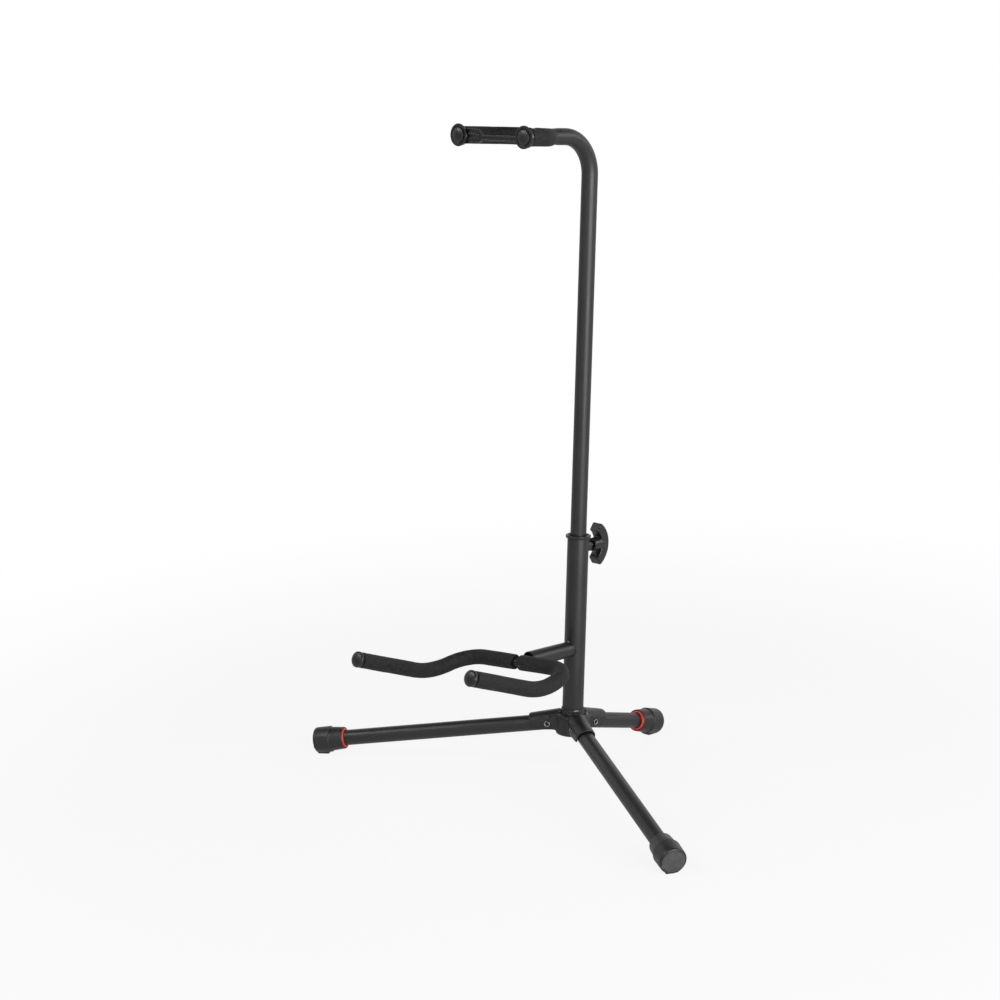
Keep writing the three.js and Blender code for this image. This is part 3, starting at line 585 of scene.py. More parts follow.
def circleEdges(bm, sides, radius, place):
    made = bmesh.ops.create_circle(bm, segments=sides, radius=radius, matrix=place)
    return list({edge for vert in made["verts"] for edge in vert.link_edges})


def ringsAlong(outline, rod, sides, closed=False):
    # rings of the outline's (distance, radius) pairs along a rod, bridged one to the next
    bm = bmesh.new()
    rings = [circleEdges(bm, sides, max(radius, making["leastRadius"]), rod.at(distance))
             for distance, radius in outline]
    if closed:
        rings.append(rings[0])
    for first, second in zip(rings, rings[1:]):
        bmesh.ops.bridge_loops(bm, edges=first + second)
    return finished(bm, making["bridgedMerge"])


def roundRod(rod, start, end, radius, edge=0.6, sides=48):
    middle = rod.stops(start + edge, end - edge)
    opening = softened([(start, 0, 0), (start, radius, edge), (end, radius, 0)])
    closing = softened([(start, radius, 0), (end, radius, edge), (end, 0, 0)])
    outline = [(start, 0), *opening[1:-1], *((stop, radius) for stop in middle[1:-1]),
               *closing[1:-1], (end, 0)]
    return meshOf(ringsAlong(outline, rod, sides))


def straightRod(start, end, radius, edge=0.6):
    # a straight rod between two distances in front of a cradle's axis
    rod = Rod([Vector((0, -start, 0)), Vector((0, -end, 0))])
    return roundRod(rod, 0, rod.length, radius, edge)


def drawn(points, low, high):
    # a flat outline raised along Z, its points as (x, y) pairs
    bm = bmesh.new()
    face = bm.faces.new([bm.verts.new((x, y, low)) for x, y in points])
    made = bmesh.ops.extrude_face_region(bm, geom=[face])
    raised = [item for item in made["geom"] if isinstance(item, bmesh.types.BMVert)]
    bmesh.ops.translate(bm, vec=(0, 0, high - low), verts=raised)
    bmesh.ops.recalc_face_normals(bm, faces=bm.faces[:])
    return bm


def trimmed(bm, point, normal):
    # cuts away what lies past a plane and closes the cut
    made = bmesh.ops.bisect_plane(bm, geom=bm.verts[:] + bm.edges[:] + bm.faces[:],
                                  plane_co=point, plane_no=normal, clear_outer=True)
    rim = [item for item in made["geom_cut"] if isinstance(item, bmesh.types.BMEdge)]
    if rim:
        bmesh.ops.contextual_create(bm, geom=rim)
    return bm


def bevelled(bm, edges, offset, segments):
    bmesh.ops.bevel(bm, geom=edges, offset=offset, segments=segments, affect="EDGES",
                    profile=0.5, material=-1, offset_type="OFFSET")


def placed(bm, matrix):
    bmesh.ops.transform(bm, matrix=matrix, verts=bm.verts[:])
    return bm


def meshOf(bm, matrix=None):
    if matrix is not None:
        placed(bm, matrix)
    mesh = bpy.data.meshes.new("making")
    bm.to_mesh(mesh)
    bm.free()
    return mesh


def ringOf(corners, matrix=None, sides=making["sides"], steps=making["cornerSteps"]):
    # a closed outline with softened corners, turned round its axis
    return meshOf(spun(softened(corners, True, steps), sides, True), matrix)


def sleeve(start, end, inner, outer, edges, matrix=None, sides=making["sides"]):
    # a plain tube, with the roundings of its edges from the inner one at the start round to
    # the inner one at the end
    corners = zip((start, start, end, end), (inner, outer, outer, inner), edges)
    return ringOf([*corners], matrix, sides)


def plainBore(start, end, diameter, place=None):
    radius = diameter / 2
    return meshOf(spun([(start, 0), (start, radius), (end, radius), (end, 0)]), place)


def worked(mesh, *steps):
    # lays modifiers on a mesh in order and returns the mesh that they make
    thing = bpy.data.objects.new("making", mesh)
    bpy.context.collection.objects.link(thing)
    spare = []
    for kind, values in steps:
        modifier = thing.modifiers.new(kind, kind)
        for key, value in values.items():
            if isinstance(value, bpy.types.Mesh):
                cutter = bpy.data.objects.new("cutter", value)
                bpy.context.collection.objects.link(cutter)
                spare.append(cutter)
                value = cutter
            setattr(modifier, key, value)
    bpy.context.view_layer.update()
    evaluated = thing.evaluated_get(bpy.context.evaluated_depsgraph_get())
    result = bpy.data.meshes.new_from_object(evaluated)
    for item in [thing, *spare]:
        bpy.data.objects.remove(item)
    return result


def combined(mesh, others, operation):
    for other in others:
        values = {"operation": operation, "solver": "EXACT", "object": other}
        mesh = worked(mesh, ("BOOLEAN", values))
    return mesh


def joined(mesh, *others):
    return combined(mesh, others, "UNION")


def cut(mesh, *cutters):
    return combined(mesh, cutters, "DIFFERENCE")


def moulded(mesh, grid, rounds, strength=0.5):
    # even small faces, then smoothing, which rounds edges and fills inner corners
    return worked(mesh, ("REMESH", {"mode": "VOXEL", "voxel_size": grid}),
                  ("SMOOTH", {"factor": strength, "iterations": rounds}))


def addPiece(name, mesh, place, body, nodes, finish, sharp=making["sharpDegrees"], second=None):
    mesh.name = name
    mesh.transform(place)
    if mesh.materials:
        mesh.materials.clear()
    for used in filter(None, (finish, second)):
        mesh.materials.append(materials[used])
    mesh.polygons.foreach_set("use_smooth", [True] * len(mesh.polygons))
    mesh.set_sharp_from_angle(angle=math.radians(sharp))
    piece = bpy.data.objects.new(name, mesh)
    bpy.context.collection.objects.link(piece)
    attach(piece, body)
    if nodes:
        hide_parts(*nodes)
    return piece


print("helpers ready")

# Hub: a domed core with three arched arms, moulded in one, then hollowed

hub = {
    "coreRadius": 20.5, "coreBottom": -17.0, "coreShoulder": 3.0, "coreRounding": 3.2,
    "coreSteps": 8, "coreSides": 128, "domeTop": 9.5, "domeInset": 6.5, "domeSteps": 12,
    "armWidth": 24.05, "armReach": 54.0, "armStart": 4.3, "armFall": 14.53, "armDepth": 40.0,
    "armSpare": 20.0, "archSteps": 48, "skirtDrop": 12.0, "skirtInner": 20.5,
    "mouthLow": 45.5, "mouthDrop": 14.43, "mouthHigh": 2.02, "filletRadius": 7.0,
    "filletSteps": 12, "channelWidth": 19.65, "channelStart": 16.38, "channelDepth": 60.0,
    "channelSpare": 40.0, "swingRadius": 12.12, "swingEnd": 35.5, "rivetSeat": 6.2,
    "rivetCut": 20.0, "postSeat": 26.0, "postFloor": -4.3, "collarSeat": 29.8,
    "collarFloor": 6.2, "flareStart": 7.0, "flareEnd": 12.0, "seatFlare": 3.2,
    "boltSeat": 6.6, "boltCut": 10.0, "pocket": 19.0, "pocketDepth": 5.8,
    "cutTop": 30.0, "cutBottom": -40.0,
    "grid": 0.8, "meltRounds": 10, "edgeGrid": 0.62, "edgeRounds": 2,
}


def armBar(width, depth, spare):
    # round above and straight below, laid along the arm and falling outwards
    half = width / 2
    side = [(-half, -depth), (half, -depth), *arcPoints((0, 0), half, 0, 180, hub["archSteps"])]
    return placed(drawn(side, 0, hub["armReach"] + spare),
                  move(0, 0, hub["armStart"]) @ turn(hub["armFall"], "Y") @ standUp)


def hubArm():
    bm = armBar(hub["armWidth"], hub["armDepth"], hub["armSpare"])
    mouth = (hub["mouthLow"], 0, -hub["mouthDrop"])
    mouthRise = hub["mouthHigh"] + hub["mouthDrop"]
    skirtRun = hub["mouthLow"] - hub["skirtInner"]
    for point, normal in (
        ((hub["armReach"], 0, 0), (1, 0, 0)), ((0, 0, 0), (-1, 0, 0)),
        (mouth, (mouthRise, 0, hub["mouthLow"] - hub["armReach"])),
        (mouth, (hub["skirtDrop"] - hub["mouthDrop"], 0, -skirtRun)),
    ):
        trimmed(bm, point, normal)
    return meshOf(bm)


def hubSkirt():
    half, radius, steps = hub["armWidth"] / 2, hub["filletRadius"], hub["filletSteps"]
    outward, reach = half + radius, hub["coreRadius"] + radius
    across = math.sqrt(reach ** 2 - outward ** 2)
    swing = math.degrees(math.atan2(outward, across))
    lower = arcPoints((across, -outward), radius, 180 - swing, 90, steps)
    upper = arcPoints((across, outward), radius, -90, swing - 180, steps)
    points = [(0, 0), *lower, (reach, -half), (reach, half), *upper]
    return meshOf(drawn(points, -hub["skirtDrop"], hub["coreShoulder"]))


def hubChannel():
    bm = armBar(hub["channelWidth"], hub["channelDepth"], hub["channelSpare"])
    return meshOf(trimmed(bm, (hub["channelStart"], 0, 0), (-1, 0, 0)))


def hubSwing(leg):
    # room for the inner end of the leg tube as it folds
    start, end, radius = hub["channelStart"], hub["swingEnd"], hub["swingRadius"]
    bm = placed(spun([(start, 0), (start, radius), (end, radius), (end, 0)]),
                move(0, 0, -leg["drop"]) @ alongX)
    for side in (1, -1):
        trimmed(bm, (0, side * hub["channelWidth"] / 2, 0), (0, side, 0))
    return meshOf(bm)


def rivetHole(leg):
    return plainBore(-hub["rivetCut"], hub["rivetCut"], hub["rivetSeat"],
                     move(stand["pivotReach"], 0, -leg["drop"]) @ backwards)


def turnedWith(leg, mesh):
    mesh.transform(turn(leg["turn"], "Z"))
    return mesh


def makeHub():
    radius, shoulder, top = hub["coreRadius"], hub["coreShoulder"], hub["domeTop"]
    base = softened([(hub["coreBottom"], 0, 0), (hub["coreBottom"], radius, hub["coreRounding"]),
                     (shoulder, radius, 0)], steps=hub["coreSteps"])
    dome = [(shoulder + (top - shoulder) * math.sin(angle),
             radius - hub["domeInset"] * (1 - math.cos(angle)))
            for angle in quarter(hub["domeSteps"])]
    core = meshOf(spun([*base[:-1], *dome, (top, 0)], hub["coreSides"]))
    limbs = [turnedWith(leg, make()) for leg in legs.values() for make in (hubArm, hubSkirt)]
    body = moulded(joined(core, *limbs), hub["grid"], hub["meltRounds"])
    cutters = [turnedWith(leg, cutter) for leg in legs.values()
               for cutter in (hubChannel(), hubSwing(leg), rivetHole(leg))]
    floor, seat = hub["collarFloor"], hub["collarSeat"] / 2
    flared = seat + hub["seatFlare"]
    cutters += [
        plainBore(hub["postFloor"], hub["cutTop"], hub["postSeat"]),
        meshOf(spun([(floor, 0), (floor, seat), (hub["flareStart"], seat),
                     (hub["flareEnd"], flared), (hub["cutTop"], flared), (hub["cutTop"], 0)])),
        plainBore(hub["cutBottom"], hub["boltCut"], hub["boltSeat"]),
        plainBore(hub["cutBottom"], hub["coreBottom"] + hub["pocketDepth"], hub["pocket"]),
    ]
    body = moulded(cut(body, *cutters), hub["edgeGrid"], hub["edgeRounds"])
    addPiece("mouldedHub", body, upright, "base", ["base_hub"], "hubPlastic",
             making["smoothDegrees"])


makeHub()
print("hub ready")

# Foot of the upright: collar, bolt and washer

collar = {
    "corners": ((6.5, 13.0, 0.2), (6.5, 14.6, 0.9), (8.7, 14.6, 0.9), (10.9, 14.05, 1.5),
                (13.4, 14.15, 0.6), (15.4, 13.55, 0.4), (15.4, 13.0, 0.2)),
    "sides": 128,
}


def makeCollar():
    body = ringOf(collar["corners"], sides=collar["sides"])
    addPiece("postCollar", body, upright, "base", ["base_collar"], "softPlastic")


bolt = {"head": 10.0, "headSides": 6, "headHeight": 4.0, "edge": 0.5, "edgeSteps": 3,
        "shank": 6.0, "seat": -12.7, "top": 12.5, "washer": 16.0, "washerThickness": 1.2,
        "washerGap": 0.2, "washerEdges": (0.1, 0.3, 0.2, 0.1), "washerSides": 64}


def makeBolt():
    bm = bmesh.new()
    bmesh.ops.create_cone(bm, cap_ends=True, segments=bolt["headSides"],
                          radius1=bolt["head"] / 2, radius2=bolt["head"] / 2,
                          depth=bolt["headHeight"])
    bevelled(bm, bm.edges[:], bolt["edge"], bolt["edgeSteps"])
    middle = bolt["seat"] - bolt["headHeight"] / 2
    body = joined(meshOf(bm, move(0, 0, middle)), plainBore(middle, bolt["top"], bolt["shank"]))
    addPiece("hubBolt", body, upright, "base", ["hub_bolt"], "zincSteel")


def makeWasher():
    low = bolt["seat"] + bolt["washerGap"]
    body = sleeve(low, low + bolt["washerThickness"], bolt["shank"] / 2 + seatGap,
                  bolt["washer"] / 2, bolt["washerEdges"], sides=bolt["washerSides"])
    addPiece("hubWasher", body, upright, "base", ["hub_washer"], "zincSteel")


makeCollar()
makeBolt()
makeWasher()

# Legs: tube, rivet, rubber foot and red ring

tube = {"radius": 9.525, "wall": 1.2, "tail": 7.0, "endWall": 6.3,
        "edges": (0.2, 0.35, 0.3, 0.2), "rivetCut": 12.0}
rivet = {"bore": 2.3, "shank": 2.8, "head": 3.5, "seat": 12.32, "rise": 0.9, "hole": 3.1,
         "brimShare": 0.7, "dishShare": 0.5, "sides": 48}
foot = {
    "length": 38.5, "endWall": 6.0, "bore": 9.825, "mouth": 13.4, "lip": 0.9, "sleeve": 14.8,
    "band": 16.1, "bandLength": 20.0, "end": 15.6, "endShares": (0.6, 0.35, 0.0), "step": 0.9,
    "rounding": 2.6, "roundingSteps": 8, "sides": 144,
    "ribPitch": 2.9, "ribDepth": 0.09, "ribStep": 0.35,
    "soleDepth": 17.6, "soleHalf": 5.0, "soleShoulder": 11.5, "soleHigh": 8.05, "soleToe": 5.0,
    "soleHeel": 2.4, "soleRun": 3.0, "soleLimit": 0.3, "wall": 1.0, "skin": 0.01, "blend": 0.5,
}
ring = {"outer": 12.1, "nose": 10.6, "proud": 1.0, "recess": 1.7, "seat": 2.5, "flush": 0.1,
        "steps": 8}


def makeLegTube(name, leg):
    body = sleeve(-tube["tail"], leg["length"] - tube["endWall"],
                  tube["radius"] - tube["wall"], tube["radius"], tube["edges"], alongX)
    hole = plainBore(-tube["rivetCut"], tube["rivetCut"], 2 * rivet["hole"], backwards)
    addPiece("legTube_" + name, cut(body, hole), legPlace(leg), "leg_" + name,
             ["leg_tube_" + name], "paintedSteel")


def makeRivet(name, leg):
    seat, rise, head, bore = rivet["seat"], rivet["rise"], rivet["head"], rivet["bore"]
    half = [(seat, rivet["shank"], 0), (seat, head, 0.25),
            (seat + rise * rivet["brimShare"], head, 0.5), (seat + rise, (head + bore) / 2, 0.5),
            (seat + rise * rivet["dishShare"], bore, 0.4)]
    other = [(-distance, radius, edge) for distance, radius, edge in reversed(half)]
    body = ringOf(other + half, backwards, rivet["sides"])
    addPiece("legRivet_" + name, body, legPlace(leg), "base", ["leg_rivet_" + name], "zincSteel")


def soleReach(distance, angle, leg):
    # how far the pad under a foot reaches from the axis, at an angle from straight down
    start, end = leg["length"] - foot["bandLength"], leg["length"]
    rise = foot["soleDepth"] - foot["soleHigh"]
    toeRun = foot["soleToe"] + foot["step"]
    toe = foot["soleHigh"] + (distance - start + foot["step"]) * rise / toeRun
    heel = foot["soleHigh"] + (end - distance) * rise / foot["soleHeel"]
    deep = min(foot["soleDepth"], toe, heel)
    if deep <= 0 or math.cos(angle) < foot["soleLimit"]:
        return 0
    slope = Vector((rise, foot["soleShoulder"] - foot["soleHalf"])).normalized()
    side = slope.dot(Vector((foot["soleHalf"], foot["soleDepth"])))
    facing = slope.x * abs(math.sin(angle)) + slope.y * math.cos(angle)
    return min(deep / math.cos(angle), side / facing)


def footOutline(mouth, band, end):
    bore, seatWall = foot["bore"], ring["outer"] + seatGap
    seat = mouth + ring["recess"] + ring["seat"]
    outline = softened([
        (end - foot["endWall"], 0, 0), (end - foot["endWall"], bore, 0.3), (seat, bore, 0),
        (seat, seatWall, 0), (mouth + ring["recess"], seatWall, 0),
        (mouth, foot["mouth"] - foot["lip"] / 2, 0.3), (mouth + foot["lip"], foot["mouth"], 0.5),
        (band - foot["step"], foot["sleeve"], 0.6), (band, foot["band"], 0.5),
        (end, foot["band"], 0),
    ])[:-1]
    length, rounding = foot["bandLength"], foot["rounding"]
    ribs = round((length - rounding) / foot["ribStep"])
    for along in (length * step / ribs for step in range(1, ribs)):
        if along > length - rounding:
            break
        radius = foot["band"] + (foot["end"] - foot["band"]) * along / length
        wave = 0.5 + 0.5 * math.cos(math.tau * along / foot["ribPitch"])
        outline.append((band + along, radius + foot["ribDepth"] * wave - foot["ribDepth"]))
    outline += [(end - rounding * (1 - math.sin(angle)),
                 foot["end"] - rounding * (1 - math.cos(angle)))
                for angle in quarter(foot["roundingSteps"])]
    return outline + [(end, foot["end"] * share) for share in foot["endShares"]]


def makeFoot(name, leg):
    end, blend = leg["length"], foot["blend"]
    mouth, band, brink = end - foot["length"], end - foot["bandLength"], end - foot["skin"]
    bm = placed(spun(footOutline(mouth, band, end), foot["sides"]), alongX)
    for face in bm.faces:
        # the end disc takes the second finish, whose lighter colour is a painted reflection of
        # the floor
        face.material_index = int(min(vert.co.x for vert in face.verts) > brink)
    for vert in bm.verts:
        away = math.hypot(vert.co.y, vert.co.z)
        inside = away <= foot["mouth"] - foot["wall"] and vert.co.x < brink
        if inside or vert.co.x < band - foot["soleRun"]:
            continue
        reach = soleReach(vert.co.x, math.atan2(vert.co.y, -vert.co.z), leg)
        full = away if vert.co.x < brink else foot["end"] - foot["rounding"]
        if reach > full - blend:
            # a soft maximum of the round band and the flat pad
            grown = reach
            if reach < full + blend:
                grown = full + (reach - full + blend) ** 2 / (4 * blend)
            vert.co.y *= grown / full
            vert.co.z *= grown / full
    trimmed(placed(bm, legPlace(leg)), (0, 0, 0), (0, 0, -1))
    bmesh.ops.recalc_face_normals(bm, faces=bm.faces[:])
    addPiece("rubberFoot_" + name, meshOf(bm), Matrix(), "leg_" + name, ["foot_" + name],
             "footRubber", second="paintedReflectionRubber")


def makeRing(name, leg):
    mouth = leg["length"] - foot["length"]
    back = mouth + ring["recess"] + ring["seat"] - seatGap
    nose = mouth - ring["proud"]
    body = ringOf([(back, foot["bore"], 0), (nose, foot["bore"], 0.25),
                   (nose, ring["nose"], 0.5), (mouth + ring["flush"], ring["outer"], 1.6),
                   (back, ring["outer"], 0)], alongX, steps=ring["steps"])
    addPiece("redRing_" + name, body, legPlace(leg), "leg_" + name, ["foot_ring_" + name],
             "redRubber")


for legName, leg in legs.items():
    for make in (makeLegTube, makeRivet, makeFoot, makeRing):
        make(legName, leg)
print("legs ready")

# Upright: two tubes, the bush between them and the height clamp

post = {"foot": -4.0, "top": 223.2, "outer": 12.7, "wall": 1.5,
        "edges": (0.2, 0.4, 0.4, 0.2), "clampBore": 7.0, "clampCut": 20.0, "sides": 128}
lip = {"outer": 15.0, "height": 3.8, "seat": 13.8, "inner": 9.875, "funnel": 12.0,
       "funnelDepth": 5.0, "funnelEnd": 1.0, "rimInner": 12.8, "rimStart": 0.4, "rimLow": 14.8,
       "length": 28.0}
slide = {"foot": 103.2, "bend": 43.7, "bendDegrees": 1.5, "end": 86.5, "swage": 30.0,
         "swageRadius": 7.7, "swageShares": (0, 0.03, 0.07, 0.12, 0.9, 0.95), "swageWave": 0.035,
         "edge": ((0, 0.35), (0.12, 0.1)), "inset": 0.5, "spacing": 12, "clear": 1, "sides": 96}


def clampHole():
    return plainBore(0, post["clampCut"], post["clampBore"], clampPlace)


def postHole(height, reach):
    # the lower tube's place in a piece that sits against it
    return plainBore(height - reach, height + reach, hub["postSeat"])


def makePost():
    body = sleeve(post["foot"], post["top"], post["outer"] - post["wall"], post["outer"],
                  post["edges"], sides=post["sides"])
    addPiece("lowerTube", cut(body, clampHole()), upright, "base", ["lower_tube"],
             "paintedSteel")


def makeLip():
    seat = post["top"] + seatGap
    top = seat + lip["height"]
    bottom = post["top"] - lip["length"]
    sleeve = post["outer"] - post["wall"] - seatGap
    body = ringOf([
        (bottom, lip["inner"], 0.2), (top - lip["funnelDepth"], lip["inner"], 0.5),
        (top - lip["funnelEnd"], lip["funnel"], 0.4), (top, lip["rimInner"], 0.9),
        (top, lip["outer"], 1.5), (seat + lip["rimStart"], lip["rimLow"], 1.2),
        (seat, lip["seat"], 0.3), (seat, sleeve, 0), (bottom, sleeve, 0.3),
    ], sides=post["sides"])
    addPiece("topBush", cut(body, clampHole()), upright, "base", ["top_bush"], "softPlastic")


def makeUpperTube():
    height, swage, inset = stand["neckHeight"], slide["swage"], slide["inset"]
    rod = Rod(bent([(0, 0, slide["foot"]), (0, 0, height), (0, -slide["end"], height)],
                   [slide["bend"]], slide["bendDegrees"]))
    full, thin, wall = tube["radius"], slide["swageRadius"], tube["wall"]
    start = rod.length - swage
    stops = [stop for stop in rod.stops(inset, rod.length - inset, slide["spacing"])
             if abs(stop - start) > slide["clear"]]
    stops = sorted(stops + [start + swage * share for share in slide["swageShares"]])

    def radiusAt(stop):
        share = min(max((stop - start) / swage, 0), 1)
        return full + (thin - full) * (share + slide["swageWave"] * math.sin(math.tau * share))

    outer = [(back, full - loss) for back, loss in slide["edge"]]
    outer += [(stop, radiusAt(stop)) for stop in stops]
    outer += [(rod.length - back, thin - loss) for back, loss in reversed(slide["edge"])]
    inner = [(stop, radiusAt(stop) - wall) for stop in reversed([0, *stops, rod.length])]
    body = meshOf(ringsAlong(outer + inner, rod, slide["sides"], True))
    addPiece("upperTube", body, upright, "upper", ["upper_tube"], "paintedSteel")


clamp = {"nut": 7.0, "nutHeight": 5.5, "nutBore": 3.3, "nutStart": 4.0,
         "nutEdges": (0, 0, 0.9, 0.4), "nutSides": 64, "nutCut": 20.0, "stud": 2.95,
         "thread": 0.35, "pitch": 1.0, "studStart": 12.3, "studEnd": 35.8, "studStep": 0.2,
         "studCore": 1.0, "studSides": 32}
knob = {
    "hubStart": 23.3, "hubEnd": 42.0, "hub": 7.95, "recess": 5.25, "recessDepth": 7.0,
    "grip": 6.6, "cutStart": 5.0, "width": 14.2, "outerSpan": 50.8, "outerEdge": 33.8,
    "back": 48.0, "innerSpan": 33.0, "innerEdge": 27.6, "inside": 35.8, "arcSteps": 40,
    "edge": 1.1, "edgeSteps": 4, "sharpAngle": 0.6, "grid": 0.5, "rounds": 4,
}


def makeNut():
    body = sleeve(clamp["nutStart"], post["outer"] + clamp["nutHeight"], clamp["nutBore"],
                  clamp["nut"], clamp["nutEdges"], clampPlace, clamp["nutSides"])
    body = cut(body, postHole(stand["clampHeight"], clamp["nutCut"]))
    addPiece("weldNut", body, upright, "base", ["clamp_nut"], "paintedSteel")


def makeStud():
    # a plain rod whose surface is drawn in along a helix
    start, end, radius = clamp["studStart"], clamp["studEnd"], clamp["stud"]
    steps = round((end - start) / clamp["studStep"])
    side = [(start + (end - start) * step / steps, radius) for step in range(steps + 1)]
    bm = spun([(start, 0), *side, (end, 0)], clamp["studSides"])
    for vert in bm.verts:
        if math.hypot(vert.co.x, vert.co.y) > clamp["studCore"]:
            wind = math.atan2(vert.co.y, vert.co.x) / math.tau
            crest = abs((vert.co.z / clamp["pitch"] - wind) % 1 - 0.5) * 2
            share = 1 - clamp["thread"] * (1 - crest) / radius
            vert.co.x *= share
            vert.co.y *= share
    # the near-black finish paints the shade of the gap that the screw crosses
    addPiece("clampScrew", meshOf(bm, clampPlace), upright, "knob", ["clamp_stud"],
             "shadeDarkSteel")


def crescent(edge, apex, span):
    rise = apex - edge
    radius = ((span / 2) ** 2 + rise ** 2) / (2 * rise)
    half = math.degrees(math.asin(span / 2 / radius))
    return arcPoints((apex - radius, 0), radius, half, -half, knob["arcSteps"])


def makeKnob():
    outline = crescent(knob["outerEdge"], knob["back"], knob["outerSpan"])
    outline += reversed(crescent(knob["innerEdge"], knob["inside"], knob["innerSpan"]))
    bm = drawn(outline, -knob["width"] / 2, knob["width"] / 2)
    sharp = [edge for edge in bm.edges if edge.calc_face_angle(0) > knob["sharpAngle"]]
    bevelled(bm, sharp, knob["edge"], knob["edgeSteps"])
    start, end, radius = knob["hubStart"], knob["hubEnd"], knob["hub"]
    stem = softened([(start, 0, 0), (start, radius, 1.0), (end, radius, 0), (end, 0, 0)])
    body = joined(meshOf(bm, standUp), meshOf(spun(stem), backwards))
    low = start - knob["cutStart"]
    recess = plainBore(low, start + knob["recessDepth"], 2 * knob["recess"], backwards)
    grip = plainBore(low, knob["inside"] + seatGap, knob["grip"], backwards)
    body = moulded(cut(body, recess, grip), knob["grid"], knob["rounds"])
    body.transform(move(0, 0, stand["clampHeight"]))
    addPiece("clampKnob", body, upright, "knob", ["clamp_knob"], "softPlastic",
             making["smoothDegrees"])


makePost()
makeLip()
makeUpperTube()
makeNut()
makeStud()
makeKnob()
print("upright ready")

# Body cradle: socket, bush, bent rod, foam sleeves and end caps

socket = {"outer": 9.525, "inner": 8.025, "start": 2.0, "end": 80.5,
          "edges": (0, 0, 0.5, 0.4), "postCut": 30.0}
weld = {"bead": 0.5, "tack": 3.3, "tackPower": 40, "ripple": 0.06, "lumps": 36, "proud": 0.35,
        "steps": 120, "lookAhead": 0.02, "sides": 16}
yokeBush = {"outer": 7.725, "inner": 4.55, "length": 34.0, "inset": 6.0,
            "edges": (0.2, 0.4, 0.7, 0.7), "sides": 72}
yoke = {
    "barForward": 98.3, "barHalf": 81.5, "dipForward": 154.4, "dipDrop": 13.0,
    "prongHalf": 90.2, "endForward": 270.0, "endRise": 24.0, "cornerBend": 33.5,
    "dipBend": 99.0, "rod": 4.75, "stem": 4.2, "stemInner": 38.0, "foam": 9.0, "foamGap": 4.8,
    "capLength": 6.0, "capGroove": 1.7, "capGrip": 3.0, "capRadius": 9.2, "capDome": 3.2,
    "capSteps": 16,
}
foam = {"bore": 0.3, "boreInset": 2.0, "edge": 0.9, "mouthEdge": 0.8, "slant": 0.1,
        "spacing": 2.2, "sides": 72, "swell": 0.28, "swellSize": 28.0, "dent": 0.10,
        "dentSize": 6.0, "endDish": 0.25, "shift": (37.0, 11.0), "axisSpacing": 6,
        "sharpDegrees": 50}
domeMeet = 0.9     # where a dome's rim meets the side, as a share of its rise


def makeSocket():
    body = sleeve(socket["start"], socket["end"], socket["inner"], socket["outer"],
                  socket["edges"], socketPlace)
    body = cut(body, postHole(stand["socketHeight"], socket["postCut"]))
    addPiece("cradleSocket", body, upright, "base", ["yoke_socket"], "paintedSteel")


def saddlePoint(angle):
    # a point of the weld bead, where the socket meets the lower tube
    radius, reach = socket["outer"] + weld["proud"], post["outer"] + weld["proud"]
    across, up = radius * math.sin(angle), radius * math.cos(angle)
    return Vector((across, -math.sqrt(reach ** 2 - across ** 2), up + stand["socketHeight"]))


def makeWeld():
    # fillet bead round the foot of the socket, thicker where it was tacked above and below
    bm = bmesh.new()
    rings = []
    for step in range(weld["steps"]):
        angle = math.tau * step / weld["steps"]
        here = saddlePoint(angle)
        ahead = (saddlePoint(angle + weld["lookAhead"]) - here).normalized()
        heading = Vector((0, 0, 1)).rotation_difference(ahead)
        tack = abs(math.cos(angle)) ** weld["tackPower"]
        ripple = weld["ripple"] * math.sin(angle * weld["lumps"])
        size = weld["bead"] + (weld["tack"] - weld["bead"]) * tack + ripple * (1 - tack)
        place = Matrix.Translation(here) @ heading.to_matrix().to_4x4()
        rings.append(circleEdges(bm, weld["sides"], size, place))
    for first, second in zip(rings, rings[1:] + rings[:1]):
        bmesh.ops.bridge_loops(bm, edges=first + second)
    bmesh.ops.recalc_face_normals(bm, faces=bm.faces[:])
    addPiece("socketWeld", meshOf(bm), upright, "base", [], "paintedSteel")


def makeYokeBush():
    end = socket["end"] - yokeBush["inset"]
    body = sleeve(end - yokeBush["length"], end, yokeBush["inner"], yokeBush["outer"],
                  yokeBush["edges"], socketPlace, yokeBush["sides"])
    addPiece("socketBush", body, upright, "base", ["yoke_bush"], "plainNylon")


def yokeCorners(side):
    return bent([
        (0, -yoke["barForward"], 0), (side * yoke["barHalf"], -yoke["barForward"], 0),
        (side * yoke["prongHalf"], -yoke["dipForward"], -yoke["dipDrop"]),
        (side * yoke["prongHalf"], -yoke["endForward"], yoke["endRise"]),
    ], [yoke["cornerBend"], yoke["dipBend"]])


def doubled(right):
    # both halves of a cradle's rod as one line of points
    left = [Vector((-point.x, point.y, point.z)) for point in right[1:]]
    return Rod([*reversed(left), *right])


def makeYokeRod():
    rod = doubled(yokeCorners(1))
    stop = yoke["capLength"] - yoke["capGrip"] + seatGap
    body = joined(roundRod(rod, stop, rod.length - stop, yoke["rod"]),
                  straightRod(yoke["stemInner"], yoke["barForward"], yoke["stem"]))
    addPiece("yokeRod", body, yokePlace, "yoke", ["yoke_rod"], "paintedSteel")


